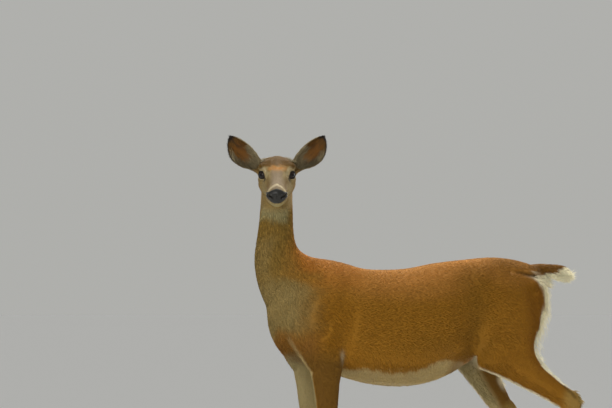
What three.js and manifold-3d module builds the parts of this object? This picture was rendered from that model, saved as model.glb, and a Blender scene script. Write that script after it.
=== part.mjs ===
// White-tailed doe, life size, standing with her head turned to her left.
//
// Frame: millimetres, +Z up, the body lies along X with the chest towards -X, and her left side faces -Y.
// The floor is Z = 0. The origin is under the middle of her bounding box.
//
// The flesh is made of lofted masses (trunk, neck, head, limbs, tail) that are joined to one solid and
// then parted by flat cuts, CUT wide, into the parts that a person would name. Hooves, dewclaws and eyes
// are solids of their own.

import * as THREE from "three";
import { mergeVertices } from "three/addons/utils/BufferGeometryUtils.js";
import Module from "manifold-3d";

const wasm = await Module();
wasm.setup();

// ---------------------------------------------------------------- driving dimensions, in mm
const WITHERS_HEIGHT = 888; // floor to the top of the shoulders
const CUT = 0.4; // gap between neighbouring parts
const WELD = 0.03; // points this close are one
const SOLE_TO_CORONET = 36; // height of a hoof
const EYE_RADIUS = 17;
const EAR_LENGTH = 150;
const EAR_THICKNESS = 3.6;
const HEAD_TURN = 70; // degrees that the head is turned to her left
const HEAD_PITCH = 18; // degrees that the bridge of the nose slopes down
const BOX_CENTRE = new THREE.Vector2(-7, -68.5); // middle of the bounding box before the model is centred

const COAT = {
  red: { color: 0x8a5226, roughness: 0.85 },
  grey: { color: 0x7d6648, roughness: 0.85 },
  white: { color: 0xcfc4b0, roughness: 0.9 },
};
const HORN = { color: 0x1d1815, roughness: 0.45 };
const LEATHER = { color: 0x17161a, roughness: 0.35 };
const EYE = { color: 0x140c07, roughness: 0.08 };

const RAD = Math.PI / 180;
const SIDES = { left: -1, right: 1 }; // sign of Y
const UP = new THREE.Vector3(0, 0, 1);
const ACROSS = new THREE.Vector3(0, 1, 0);

// ---------------------------------------------------------------- lofting

// One cross-section: a superellipse round `at`, with a radius of its own towards +fore, -fore, +side and
// -side. A roundness of 2 is an ellipse, more is squarer, less is sharper.
function section({ at, fore, side, front, back, out, inn = out, square = 2, squareBack = square }, count) {
  const power = (value, exponent) => Math.sign(value) * Math.abs(value) ** (2 / exponent);
  return Array.from({ length: count }, (_, i) => {
    const turn = (2 * Math.PI * i) / count;
    const exponent = Math.cos(turn) > 0 ? square : squareBack;
    const along = power(Math.cos(turn), exponent);
    const across = power(Math.sin(turn), exponent);
    return at
      .clone()
      .addScaledVector(fore, along * (along > 0 ? front : back))
      .addScaledVector(side, across * (across > 0 ? out : inn));
  });
}

// Catmull-Rom through a list of numbers, at a place between 0 and the last index.
function smooth(values, place) {
  const i = Math.min(Math.floor(place), values.length - 2);
  const t = place - i;
  const a = values[i];
  const b = values[i + 1];
  const before = i > 0 ? values[i - 1] : 2 * a - b;
  const after = i + 2 < values.length ? values[i + 2] : 2 * b - a;
  const slopeA = (b - before) / 2;
  const slopeB = (after - a) / 2;
  const t2 = t * t;
  const t3 = t2 * t;
  return (2 * t3 - 3 * t2 + 1) * a + (t3 - 2 * t2 + t) * slopeA + (3 * t2 - 2 * t3) * b + (t3 - t2) * slopeB;
}

// Stations with `steps` places between each two, every number in them smoothed.
function refine(stations, steps) {
  const keys = Object.keys(stations[0]);
  const count = (stations.length - 1) * steps + 1;
  return Array.from({ length: count }, (_, i) =>
    Object.fromEntries(keys.map((key) => [key, smooth(stations.map((s) => s[key]), i / steps)])),
  );
}

// A closed geometry through rings of points, all with as many points, with a flat cap at each end.
function loft(rings) {
  const count = rings[0].length;
  const points = rings.flat();
  const middle = (ring) => ring.reduce((sum, p) => sum.add(p), new THREE.Vector3()).divideScalar(count);
  const first = points.length;
  points.push(middle(rings[0]), middle(rings.at(-1)));
  const faces = [];
  for (let i = 0; i < count; i++) {
    const j = (i + 1) % count;
    for (let r = 0; r < rings.length - 1; r++) {
      const [a, b, c, d] = [r * count + i, r * count + j, (r + 1) * count + j, (r + 1) * count + i];
      faces.push(a, b, c, a, c, d);
    }
    const last = (rings.length - 1) * count;
    faces.push(first, j, i, first + 1, last + i, last + j);
  }
  return geometryOf(points, faces);
}

function geometryOf(points, faces) {
  const geometry = new THREE.BufferGeometry().setFromPoints(points);
  geometry.setIndex(faces);
  return geometry;
}

// ---------------------------------------------------------------- solids

function toSolid(geometry) {
  const bare = geometry.clone();
  bare.deleteAttribute("normal");
  bare.deleteAttribute("uv");
  const merged = mergeVertices(bare, 1e-4);
  const vertProperties = new Float32Array(merged.attributes.position.array);
  const triVerts = new Uint32Array(merged.index.array);
  const made = new wasm.Manifold(new wasm.Mesh({ numProp: 3, vertProperties, triVerts }));
  if (made.volume() > 0) return made;
  for (let i = 0; i < triVerts.length; i += 3) {
    [triVerts[i + 1], triVerts[i + 2]] = [triVerts[i + 2], triVerts[i + 1]];
  }
  return new wasm.Manifold(new wasm.Mesh({ numProp: 3, vertProperties, triVerts }));
}

// The surface of a solid. Cuts leave a few points that all but touch: those within WELD are made one, and
// a face that this leaves flat goes, with any pair of faces that it leaves back to back.
function toGeometry(solid) {
  const mesh = solid.getMesh();
  const positions = new Float32Array(mesh.numVert * 3);
  for (let i = 0; i < mesh.numVert; i++) {
    positions.set(mesh.vertProperties.subarray(i * mesh.numProp, i * mesh.numProp + 3), i * 3);
  }
  const raw = new THREE.BufferGeometry();
  raw.setAttribute("position", new THREE.BufferAttribute(positions, 3));
  raw.setIndex(new THREE.BufferAttribute(new Uint32Array(mesh.triVerts), 1));
  const geometry = mergeVertices(raw, WELD);
  const faces = new Map();
  const index = geometry.index.array;
  for (let i = 0; i < index.length; i += 3) {
    const face = [index[i], index[i + 1], index[i + 2]];
    if (new Set(face).size < 3) continue;
    const key = [...face].sort((a, b) => a - b).join();
    if (faces.has(key)) faces.delete(key);
    else faces.set(key, face);
  }
  geometry.setIndex([...faces.values()].flat());
  geometry.computeVertexNormals();
  return geometry;
}

const asSolid = (shape) => (shape instanceof THREE.BufferGeometry ? toSolid(shape) : shape);
const join = (solids) => solids.reduce((sum, solid) => sum.add(solid));
const largest = (solid) => solid.decompose().sort((a, b) => b.volume() - a.volume())[0];

// An ellipsoid at a place, as a solid.
function ellipsoid(at, radii, matrix = new THREE.Matrix4(), detail = [12, 8]) {
  const ball = new THREE.SphereGeometry(1, ...detail).scale(...radii).translate(...at);
  return toSolid(ball.applyMatrix4(matrix));
}

// The half-space box whose near face goes through `at`, and which lies on the `towards` side of it.
// `reach` is how far it goes behind that face, `half` how far to its sides.
function region(at, towards, reach, halfAcross, halfAlong = halfAcross, gap = 0) {
  const direction = towards.clone().normalize();
  const box = new THREE.BoxGeometry(2 * halfAlong + 2 * gap, 2 * halfAcross + 2 * gap, reach + gap);
  box.translate(0, 0, (reach - gap) / 2);
  const sideways = ACROSS.clone().cross(direction).normalize();
  const turn = new THREE.Matrix4().makeBasis(sideways, direction.clone().cross(sideways), direction);
  return toSolid(box.applyMatrix4(turn).translate(at.x, at.y, at.z));
}

// ---------------------------------------------------------------- trunk

// Upright slices from the breast to under the tail: place along X, top, bottom, half width, height of the
// widest place as a share of the depth, and how square the upper and lower halves are.
const TRUNK = [
  { x: -458, top: 780, bottom: 668, half: 30, wide: 0.5, square: 2.0, squareBack: 2.0 },
  { x: -444, top: 836, bottom: 622, half: 58, wide: 0.5, square: 2.0, squareBack: 2.0 },
  { x: -408, top: 880, bottom: 578, half: 82, wide: 0.48, square: 2.0, squareBack: 2.0 },
  { x: -350, top: 890, bottom: 548, half: 96, wide: 0.46, square: 1.9, squareBack: 2.0 },
  { x: -285, top: WITHERS_HEIGHT, bottom: 528, half: 104, wide: 0.45, square: 1.75, squareBack: 2.05 },
  { x: -220, top: 877, bottom: 512, half: 114, wide: 0.44, square: 1.8, squareBack: 2.1 },
  { x: -150, top: 857, bottom: 493, half: 128, wide: 0.43, square: 1.9, squareBack: 2.15 },
  { x: -70, top: 852, bottom: 481, half: 140, wide: 0.42, square: 1.95, squareBack: 2.15 },
  { x: 10, top: 856, bottom: 480, half: 146, wide: 0.41, square: 2.0, squareBack: 2.15 },
  { x: 80, top: 870, bottom: 492, half: 143, wide: 0.42, square: 2.0, squareBack: 2.1 },
  { x: 145, top: 878, bottom: 516, half: 133, wide: 0.45, square: 2.0, squareBack: 2.1 },
  { x: 210, top: 884, bottom: 556, half: 122, wide: 0.5, square: 2.05, squareBack: 2.1 },
  { x: 280, top: 890, bottom: 596, half: 114, wide: 0.52, square: 2.1, squareBack: 2.0 },
  { x: 345, top: 887, bottom: 628, half: 106, wide: 0.52, square: 2.1, squareBack: 2.0 },
  { x: 400, top: 876, bottom: 640, half: 94, wide: 0.52, square: 2.0, squareBack: 2.0 },
  { x: 445, top: 860, bottom: 646, half: 74, wide: 0.55, square: 2.0, squareBack: 2.0 },
  { x: 472, top: 838, bottom: 664, half: 50, wide: 0.55, square: 2.0, squareBack: 2.0 },
  { x: 483, top: 815, bottom: 700, half: 28, wide: 0.5, square: 2.0, squareBack: 2.0 },
];

function trunk() {
  const rings = refine(TRUNK, 2).map(({ x, top, bottom, half, wide, square, squareBack }) => {
    const middle = bottom + wide * (top - bottom);
    const at = new THREE.Vector3(x, 0, middle);
    const radii = { front: top - middle, back: middle - bottom, out: half };
    return section({ at, fore: UP, side: ACROSS, ...radii, square, squareBack }, 18);
  });
  return toSolid(loft(rings));
}

// ---------------------------------------------------------------- neck

// From inside the chest up to behind the skull. `turn` is how far the throat is turned to her left, and
// `lean` how far the slice leans back from level, both in degrees. Front is the throat, back the nape.
const NECK = [
  { x: -318, y: 0, z: 742, turn: 0, lean: 50, front: 130, back: 132, half: 84 },
  { x: -366, y: 0, z: 806, turn: 2, lean: 42, front: 129, back: 103, half: 79 },
  { x: -402, y: -1, z: 858, turn: 8, lean: 30, front: 115, back: 77, half: 70 },
  { x: -424, y: -5, z: 906, turn: 22, lean: 16, front: 98, back: 58, half: 61 },
  { x: -436, y: -12, z: 950, turn: 38, lean: 8, front: 82, back: 53, half: 56 },
  { x: -441, y: -19, z: 996, turn: 52, lean: 4, front: 69, back: 56, half: 53 },
  { x: -443, y: -26, z: 1042, turn: 62, lean: 4, front: 63, back: 61, half: 51 },
  { x: -445, y: -34, z: 1086, turn: 68, lean: 6, front: 61, back: 60, half: 50 },
  { x: -447, y: -42, z: 1126, turn: HEAD_TURN, lean: 14, front: 58, back: 55, half: 46 },
  { x: -452, y: -56, z: 1160, turn: HEAD_TURN, lean: 40, front: 56, back: 45, half: 40 },
  { x: -462, y: -84, z: 1176, turn: HEAD_TURN, lean: 68, front: 40, back: 29, half: 28 },
];

function neck() {
  const rings = refine(NECK, 2).map(({ x, y, z, turn, lean, front, back, half }) => {
    const heading = new THREE.Vector3(-Math.cos(turn * RAD), -Math.sin(turn * RAD), 0);
    const side = UP.clone().cross(heading);
    const fore = heading.applyAxisAngle(side, lean * RAD);
    const at = new THREE.Vector3(x, y, z);
    return section({ at, fore, side, front, back, out: half, square: 2.1, squareBack: 1.9 }, 16);
  });
  return toSolid(loft(rings));
}

// ---------------------------------------------------------------- head

// The head's own frame: `back` is the distance behind the tip of the nose, along the bridge of the nose,
// Y is her left, and Z is square to the bridge, from the middle of the nose pad.
const EYE_PLACE = { back: 160, out: 46, up: 20 };
const EYES_BETWEEN = new THREE.Vector3(-482, -138, 1149); // midpoint of the eyes in the body's frame

const HEAD_MATRIX = (() => {
  const turned = new THREE.Matrix4().makeRotationZ((180 + HEAD_TURN) * RAD);
  const pitched = new THREE.Matrix4().makeRotationY(HEAD_PITCH * RAD);
  const turn = turned.multiply(pitched);
  const place = new THREE.Vector3(-EYE_PLACE.back, 0, EYE_PLACE.up).applyMatrix4(turn);
  return turn.setPosition(EYES_BETWEEN.clone().sub(place));
})();
const HEAD_WAYS = (() => {
  const heading = new THREE.Vector3(-Math.cos(HEAD_TURN * RAD), -Math.sin(HEAD_TURN * RAD), 0);
  const outwardOf = (sign) => UP.clone().cross(heading).multiplyScalar(-sign);
  return { heading, outwardOf };
})();
const inHead = (back, out, up) => new THREE.Vector3(-back, out, up).applyMatrix4(HEAD_MATRIX);

const HEAD = [
  { back: 0, top: 12, bottom: -17, half: 19, square: 2.3, squareBack: 2.0 },
  { back: 6, top: 20, bottom: -31, half: 28, square: 2.5, squareBack: 2.2 },
  { back: 16, top: 26, bottom: -40, half: 33, square: 2.4, squareBack: 2.2 },
  { back: 34, top: 30, bottom: -42, half: 31, square: 2.2, squareBack: 2.1 },
  { back: 60, top: 33, bottom: -43, half: 29, square: 2.1, squareBack: 2.0 },
  { back: 88, top: 37, bottom: -45, half: 33, square: 2.1, squareBack: 1.9 },
  { back: 114, top: 43, bottom: -53, half: 41, square: 2.2, squareBack: 1.8 },
  { back: 138, top: 50, bottom: -62, half: 49, square: 2.3, squareBack: 1.75 },
  { back: 163, top: 56, bottom: -70, half: 55, square: 2.4, squareBack: 1.75 },
  { back: 192, top: 61, bottom: -77, half: 55, square: 2.3, squareBack: 1.8 },
  { back: 220, top: 62, bottom: -74, half: 50, square: 2.1, squareBack: 1.9 },
  { back: 248, top: 57, bottom: -64, half: 45, square: 2.0, squareBack: 2.0 },
  { back: 272, top: 45, bottom: -48, half: 36, square: 2.0, squareBack: 2.0 },
  { back: 290, top: 26, bottom: -24, half: 20, square: 2.0, squareBack: 2.0 },
];

function head() {
  const rings = refine(HEAD, 1).map(({ back, top, bottom, half, square, squareBack }) => {
    const middle = bottom + 0.52 * (top - bottom);
    const at = new THREE.Vector3(-back, 0, middle);
    const radii = { front: top - middle, back: middle - bottom, out: half };
    return section({ at, fore: UP, side: ACROSS, ...radii, square, squareBack }, 20).map((p) =>
      p.applyMatrix4(HEAD_MATRIX),
    );
  });
  const masses = [toSolid(loft(rings))];
  for (const sign of Object.values(SIDES)) {
    const brow = [-EYE_PLACE.back - 6, -sign * 35, 37];
    masses.push(ellipsoid(brow, [24, 22, 15], HEAD_MATRIX, [8, 5]));
  }
  return join(masses);
}

function eye(sign, grow = 0) {
  const at = [-EYE_PLACE.back, -sign * (EYE_PLACE.out - 6), EYE_PLACE.up];
  const radius = EYE_RADIUS + grow;
  return ellipsoid(at, [radius, radius, radius], HEAD_MATRIX, [10, 7]);
}

// ---------------------------------------------------------------- ears

// A cupped leaf that opens forwards. Along is 0 at its root and 1 at its tip. `low` and `high` are how
// far its lower and upper edges stand from its midline, and `cup` how far those edges come forward.
const EAR = [
  { along: 0.08, low: 17, high: 15, cup: 25 },
  { along: 0.19, low: 25, high: 19, cup: 27 },
  { along: 0.33, low: 37, high: 22, cup: 26 },
  { along: 0.48, low: 46, high: 23, cup: 22 },
  { along: 0.62, low: 47, high: 21, cup: 18 },
  { along: 0.76, low: 40, high: 18, cup: 13 },
  { along: 0.88, low: 26, high: 13, cup: 8 },
  { along: 0.96, low: 12, high: 6, cup: 4 },
  { along: 1, low: 4, high: 2, cup: 2 },
];
const EAR_ROOT = { back: 228, out: 46, up: 12 };
const EAR_RISE = 46.5; // degrees that the ear's midline stands up from level
const EAR_SWEEP = 5; // degrees that it points behind

// Where an ear starts, and which way it points.
function earLine(sign) {
  const { heading, outwardOf } = HEAD_WAYS;
  const outward = outwardOf(sign);
  const root = inHead(EAR_ROOT.back, -sign * EAR_ROOT.out, EAR_ROOT.up);
  const axis = outward.clone().multiplyScalar(Math.cos(EAR_RISE * RAD));
  axis.addScaledVector(UP, Math.sin(EAR_RISE * RAD));
  axis.addScaledVector(heading, -Math.sin(EAR_SWEEP * RAD)).normalize();
  return { root, axis, outward };
}

function ear(sign) {
  const { root, axis, outward } = earLine(sign);
  const { heading } = HEAD_WAYS;
  const face = heading.clone().addScaledVector(axis, -heading.dot(axis)).normalize();
  const down = outward.clone().addScaledVector(UP, -1);
  down.addScaledVector(axis, -down.dot(axis)).addScaledVector(face, -down.dot(face)).normalize();
  const across = 7; // points across the leaf, on each of its two faces
  const rings = EAR.map(({ along, low, high, cup }) => {
    const at = root.clone().addScaledVector(axis, along * EAR_LENGTH);
    const leaf = (share, lift) => {
      const width = share > 0 ? low : high;
      const forward = cup * (share * share - 0.35) + lift;
      return at.clone().addScaledVector(down, share * width).addScaledVector(face, forward);
    };
    const shares = Array.from({ length: across }, (_, i) => -1 + (2 * i) / (across - 1));
    const rim = 1 + (2 * EAR_THICKNESS) / 100;
    const front = shares.map((s) => leaf(s, EAR_THICKNESS / 2));
    const rear = shares.map((s) => leaf(s * rim, -EAR_THICKNESS / 2)).reverse();
    return [...front, ...rear];
  });
  const stem = [
    { d: -22, r: 22 },
    { d: 6, r: 22 },
    { d: 24, r: 17 },
    { d: 36, r: 8 },
  ].map(({ d, r }) => {
    const at = root.clone().addScaledVector(axis, d).addScaledVector(face, -4);
    return section({ at, fore: face, side: down, front: r * 0.55, back: r * 0.9, out: r }, 8);
  });
  return join([toSolid(loft(rings)), toSolid(loft(stem))]);
}

// ---------------------------------------------------------------- limbs

// A limb is a chain of joints, and slices across its bones. Each slice has a bone, a share along it, its
// reach forwards and backwards from the line of the bone, and its reach outwards and inwards.
function limb(joints, slices, sign) {
  const chain = joints.map(([x, y, z]) => new THREE.Vector3(x, sign * y, z));
  const bones = chain.slice(1).map((joint, i) => {
    const line = joint.clone().sub(chain[i]);
    return line.setY(0).normalize();
  });
  const bend = (i) => {
    const before = bones[Math.max(i - 1, 0)];
    const after = bones[Math.min(i, bones.length - 1)];
    return before.clone().add(after).normalize();
  };
  const rings = refine(slices, 1).map(({ place, front, back, out, inn, square }) => {
    const bone = Math.min(Math.floor(place), bones.length - 1);
    const share = place - bone;
    const at = chain[bone].clone().lerp(chain[bone + 1], share);
    const end = bend(share < 0.5 ? bone : bone + 1);
    const straight = Math.max(0, 1 - Math.abs(2 * share - 1));
    const down = end.lerp(bones[bone], straight).normalize();
    const fore = new THREE.Vector3(down.z, 0, -down.x);
    const side = ACROSS.clone().multiplyScalar(sign);
    return section({ at, fore, side, front, back, out, inn, square }, 12);
  });
  return toSolid(loft(rings));
}

// Foreleg joints: top of the shoulder blade, point of the shoulder, elbow, knee, fetlock, coronet.
const FORELEG_JOINTS = [
  [-258, 34, 846],
  [-330, 73, 672],
  [-292, 76, 536],
  [-293, 76, 285],
  [-292, 76, 96],
  [-326, 76, SOLE_TO_CORONET],
];
const FORELEG = [
  { place: 0.0, front: 22, back: 26, out: 16, inn: 20, square: 2 },
  { place: 0.15, front: 44, back: 46, out: 28, inn: 34, square: 2 },
  { place: 0.3, front: 62, back: 60, out: 36, inn: 40, square: 2 },
  { place: 0.65, front: 92, back: 82, out: 41, inn: 44, square: 2.1 },
  { place: 1.0, front: 100, back: 92, out: 38, inn: 46, square: 2.1 },
  { place: 1.4, front: 90, back: 86, out: 36, inn: 46, square: 2.1 },
  { place: 1.75, front: 72, back: 70, out: 35, inn: 42, square: 2.1 },
  { place: 2.0, front: 58, back: 55, out: 33, inn: 37, square: 2.1 },
  { place: 2.2, front: 47, back: 43, out: 31, inn: 32, square: 2.1 },
  { place: 2.5, front: 36, back: 37, out: 28, inn: 26, square: 2.1 },
  { place: 2.8, front: 26, back: 27, out: 24, inn: 23, square: 2.1 },
  { place: 2.93, front: 27, back: 25, out: 24.5, inn: 24.5, square: 2.3 },
  { place: 3.08, front: 25, back: 24, out: 23, inn: 23, square: 2.3 },
  { place: 3.2, front: 18, back: 20, out: 18, inn: 18, square: 2.2 },
  { place: 3.4, front: 15, back: 17, out: 15, inn: 15, square: 2.2 },
  { place: 3.8, front: 15, back: 17, out: 14.5, inn: 14.5, square: 2.2 },
  { place: 4.0, front: 18, back: 21, out: 20, inn: 20, square: 2.2 },
  { place: 4.4, front: 16, back: 17, out: 20, inn: 20, square: 2.2 },
  { place: 4.85, front: 19, back: 20, out: 23, inn: 23, square: 2.3 },
  { place: 5.2, front: 20, back: 21, out: 24, inn: 24, square: 2.4 },
];

// Hind leg joints: hip, stifle, hock, fetlock, coronet. She has stepped off her left hind leg, so it
// trails, and her right one stands under her flank.
const HIND_JOINTS = {
  left: [
    [332, 60, 812],
    [292, 82, 572],
    [545, 81, 418],
    [560, 80, 124],
    [534, 80, SOLE_TO_CORONET],
  ],
  right: [
    [330, 60, 812],
    [240, 82, 592],
    [388, 81, 362],
    [300, 80, 100],
    [266, 80, SOLE_TO_CORONET],
  ],
};
const HIND = [
  { place: 0.0, front: 84, back: 84, out: 34, inn: 40, square: 2 },
  { place: 0.3, front: 112, back: 122, out: 46, inn: 44, square: 2.1 },
  { place: 0.65, front: 110, back: 146, out: 46, inn: 48, square: 2.1 },
  { place: 1.0, front: 82, back: 138, out: 40, inn: 46, square: 2.1 },
  { place: 1.25, front: 54, back: 80, out: 35, inn: 38, square: 2.1 },
  { place: 1.5, front: 42, back: 50, out: 30, inn: 30, square: 2.1 },
  { place: 1.75, front: 36, back: 42, out: 25, inn: 24, square: 2.1 },
  { place: 1.92, front: 33, back: 46, out: 22, inn: 21, square: 2.1 },
  { place: 2.04, front: 27, back: 46, out: 21, inn: 20, square: 2.2 },
  { place: 2.16, front: 22, back: 28, out: 19, inn: 19, square: 2.2 },
  { place: 2.3, front: 18, back: 21, out: 16, inn: 16, square: 2.2 },
  { place: 2.8, front: 16, back: 18, out: 15, inn: 15, square: 2.2 },
  { place: 3.0, front: 19, back: 22, out: 21, inn: 21, square: 2.2 },
  { place: 3.4, front: 16, back: 17, out: 20, inn: 20, square: 2.2 },
  { place: 3.85, front: 19, back: 20, out: 23, inn: 23, square: 2.3 },
  { place: 4.2, front: 20, back: 21, out: 24, inn: 24, square: 2.4 },
];

// ---------------------------------------------------------------- tail

const TAIL = [
  { x: 400, z: 842, thick: 24, half: 26 },
  { x: 440, z: 848, thick: 20, half: 25 },
  { x: 480, z: 847, thick: 20, half: 28 },
  { x: 515, z: 842, thick: 24, half: 31 },
  { x: 545, z: 837, thick: 25, half: 29 },
  { x: 566, z: 834, thick: 18, half: 20 },
  { x: 578, z: 832, thick: 6, half: 8 },
];

function tail() {
  const rings = refine(TAIL, 2).map(({ x, z, thick, half }) =>
    section({ at: new THREE.Vector3(x, 0, z), fore: UP, side: ACROSS, front: thick, back: thick, out: half }, 12),
  );
  return toSolid(loft(rings));
}

// ---------------------------------------------------------------- feet

const HOOF = [
  { z: 0, ahead: 2, front: 37, back: 25, half: 11.5 },
  { z: 12, ahead: 0, front: 31, back: 25, half: 11.5 },
  { z: 25, ahead: -2, front: 23, back: 23, half: 11 },
  { z: SOLE_TO_CORONET - CUT, ahead: -3, front: 17, back: 20, half: 10 },
];
const TOE_SPACING = 12.8; // from the middle of the foot to the middle of a toe
const TOE_SPLAY = 4; // degrees

function hoof(foot, sign, toe) {
  const turn = new THREE.Matrix4().makeRotationZ(-toe * TOE_SPLAY * RAD);
  const rings = HOOF.map(({ z, ahead, front, back, half }) => {
    const at = new THREE.Vector3(-ahead, toe * TOE_SPACING, z);
    const fore = new THREE.Vector3(-1, 0, 0);
    const made = { at, fore, side: ACROSS, front, back, out: half, square: 1.7, squareBack: 2.5 };
    return section(made, 12).map((p) => p.applyMatrix4(turn).add(foot));
  });
  return loft(rings);
}

const DEWCLAW = [
  { drop: -6, behind: -4, radius: 6 },
  { drop: 4, behind: 2, radius: 6.5 },
  { drop: 14, behind: 6, radius: 5 },
  { drop: 21, behind: 8, radius: 2.2 },
];
const DEWCLAW_SPACING = 13;
const DEWCLAW_BEHIND = 20; // behind the middle of the fetlock
const DEWCLAW_DROP = 12; // below the middle of the fetlock

function dewclaw(fetlock, toe, grow = 0) {
  const rings = DEWCLAW.map(({ drop, behind, radius }) => {
    const place = [DEWCLAW_BEHIND + behind, toe * DEWCLAW_SPACING, -DEWCLAW_DROP - drop];
    const at = new THREE.Vector3(...place).add(fetlock);
    const fore = new THREE.Vector3(-1, 0, 0);
    const reach = radius + grow;
    return section({ at, fore, side: ACROSS, front: reach, back: reach, out: reach * 1.15 }, 6);
  });
  if (grow) {
    rings[0].forEach((p) => p.setZ(p.z + grow));
    rings.at(-1).forEach((p) => p.setZ(p.z - grow));
  }
  return loft(rings);
}

// ---------------------------------------------------------------- assembly

const deer = new THREE.Group();
deer.position.set(-BOX_CENTRE.x, -BOX_CENTRE.y, 0);

function add(name, shape, look) {
  const geometry = toGeometry(asSolid(shape));
  const mesh = new THREE.Mesh(geometry, new THREE.MeshStandardMaterial({ metalness: 0, ...look }));
  mesh.name = name;
  deer.add(mesh);
}

let flesh = join([
  trunk(),
  neck(),
  head(),
  tail(),
  ...Object.values(SIDES).flatMap((sign) => [ear(sign), limb(FORELEG_JOINTS, FORELEG, sign)]),
  limb(HIND_JOINTS.left, HIND, SIDES.left),
  limb(HIND_JOINTS.right, HIND, SIDES.right),
]);

// The flesh ends level above the hooves.
const belowCoronets = new THREE.BoxGeometry(2000, 1000, 200).translate(0, 0, SOLE_TO_CORONET - 100);
flesh = flesh.subtract(toSolid(belowCoronets));

// Takes the flesh in a shape, gives it a name, and leaves the rest with a gap round the shape. The shape
// is a function of how much it is grown.
function part(name, look, shape) {
  add(name, largest(flesh.intersect(shape(0))), look);
  flesh = flesh.subtract(shape(CUT));
}

// The shape beyond a plane: `size` is how far it goes beyond the plane, across it and along it.
const beyond = (at, towards, ...size) => {
  const [place, direction] = [new THREE.Vector3(...at), new THREE.Vector3(...towards)];
  return (gap) => region(place, direction, ...size, gap);
};

// Feet: two toes and two dewclaws on each.
for (const [side, sign] of Object.entries(SIDES)) {
  const hind = HIND_JOINTS[side];
  const ends = [
    ["fore", FORELEG_JOINTS[4], FORELEG_JOINTS[5]],
    ["hind", hind[3], hind[4]],
  ];
  for (const [which, fetlock, coronet] of ends) {
    const joint = new THREE.Vector3(fetlock[0], sign * fetlock[1], fetlock[2]);
    const foot = new THREE.Vector3(coronet[0], sign * coronet[1], 0);
    for (const [toe, place] of [[sign, "outer"], [-sign, "inner"]]) {
      add(`hoof_${which}_${side}_${place}`, hoof(foot, sign, toe), HORN);
      add(`dewclaw_${which}_${side}_${place}`, dewclaw(joint, toe), HORN);
      flesh = flesh.subtract(toSolid(dewclaw(joint, toe, CUT)));
    }
  }
}

// Eyes and the pad of the nose.
for (const [side, sign] of Object.entries(SIDES)) {
  flesh = flesh.subtract(eye(sign, CUT));
  add(`eye_${side}`, eye(sign), EYE);
}
const NOSE_PAD = [19, 33, 24]; // half sizes, along the head, across it and up it
part("nose_pad", LEATHER, (gap) => {
  return ellipsoid([-4, 0, 0], NOSE_PAD.map((half) => half + gap), HEAD_MATRIX, [10, 7]);
});

// Legs, from the foot up.
const HIND_CUTS = {
  left: {
    pastern: { at: [557, 152], towards: [0, -1] },
    cannon: { at: [552, 366], towards: [0.04, -1] },
    gaskin: { at: [370, 545], towards: [0.86, -0.5] },
  },
  right: {
    pastern: { at: [306, 128], towards: [-0.2, -1] },
    cannon: { at: [372, 316], towards: [-0.33, -0.94] },
    gaskin: { at: [290, 535], towards: [0.55, -0.84] },
  },
};
const FORE_CUTS = {
  pastern: { at: [-300, 124], towards: [0, -1] },
  cannon: { at: [-293, 252], towards: [0, -1] },
  forearm: { at: [-295, 497], towards: [0, -1] },
};
const REACH = { pastern: 180, cannon: 330, forearm: 480, gaskin: 430 };
for (const [side, sign] of Object.entries(SIDES)) {
  for (const [leg, cuts] of Object.entries({ foreleg: FORE_CUTS, hindleg: HIND_CUTS[side] })) {
    for (const [bone, { at, towards }] of Object.entries(cuts)) {
      const [x, z] = at;
      const direction = [towards[0], 0, towards[1]];
      const along = bone === "gaskin" ? 175 : 90;
      const shape = beyond([x, sign * 81, z], direction, REACH[bone], 79, along);
      part(`${leg}_${side}_${bone}`, COAT.red, shape);
    }
  }
}

// Tail, ears, head, neck, and the trunk in three.
part("tail", COAT.red, beyond([486, 0, 846], [1, 0, 0], 200, 80, 60));
for (const [side, sign] of Object.entries(SIDES)) {
  const { root, axis } = earLine(sign);
  part(`ear_${side}`, COAT.grey, beyond(root.clone().addScaledVector(axis, 23), axis, 220, 70, 90));
}
const throat = inHead(216, 0, -84);
const poll = inHead(288, 0, 56);
const chin = inHead(30, 0, -58);
const acrossHead = HEAD_WAYS.outwardOf(SIDES.right);
const forwards = poll.clone().sub(throat).cross(acrossHead);
const upwards = chin.clone().sub(throat).cross(acrossHead);
if (forwards.dot(HEAD_WAYS.heading) < 0) forwards.negate();
if (upwards.z < 0) upwards.negate();
part("head", COAT.grey, (gap) => {
  return region(throat, forwards, 420, 105, 260, gap).intersect(region(throat, upwards, 420, 260, 400, gap));
});
part("neck", COAT.red, beyond([-408, 0, 822], [-0.82, 0, 0.57], 520, 180, 420));
part("chest", COAT.red, beyond([-128, 0, 700], [-1, 0, 0], 500, 200, 400));
part("rump", COAT.red, beyond([165, 0, 700], [1, 0, 0], 500, 200, 400));
add("barrel", largest(flesh), COAT.red);

export default deer;
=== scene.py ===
"""A life-size white-tailed doe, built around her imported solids: skin, coat, eyes, hooves, floor and light."""
import math

import bpy
import numpy as np
from mathutils import Matrix, Vector
from mathutils.bvhtree import BVHTree


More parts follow.
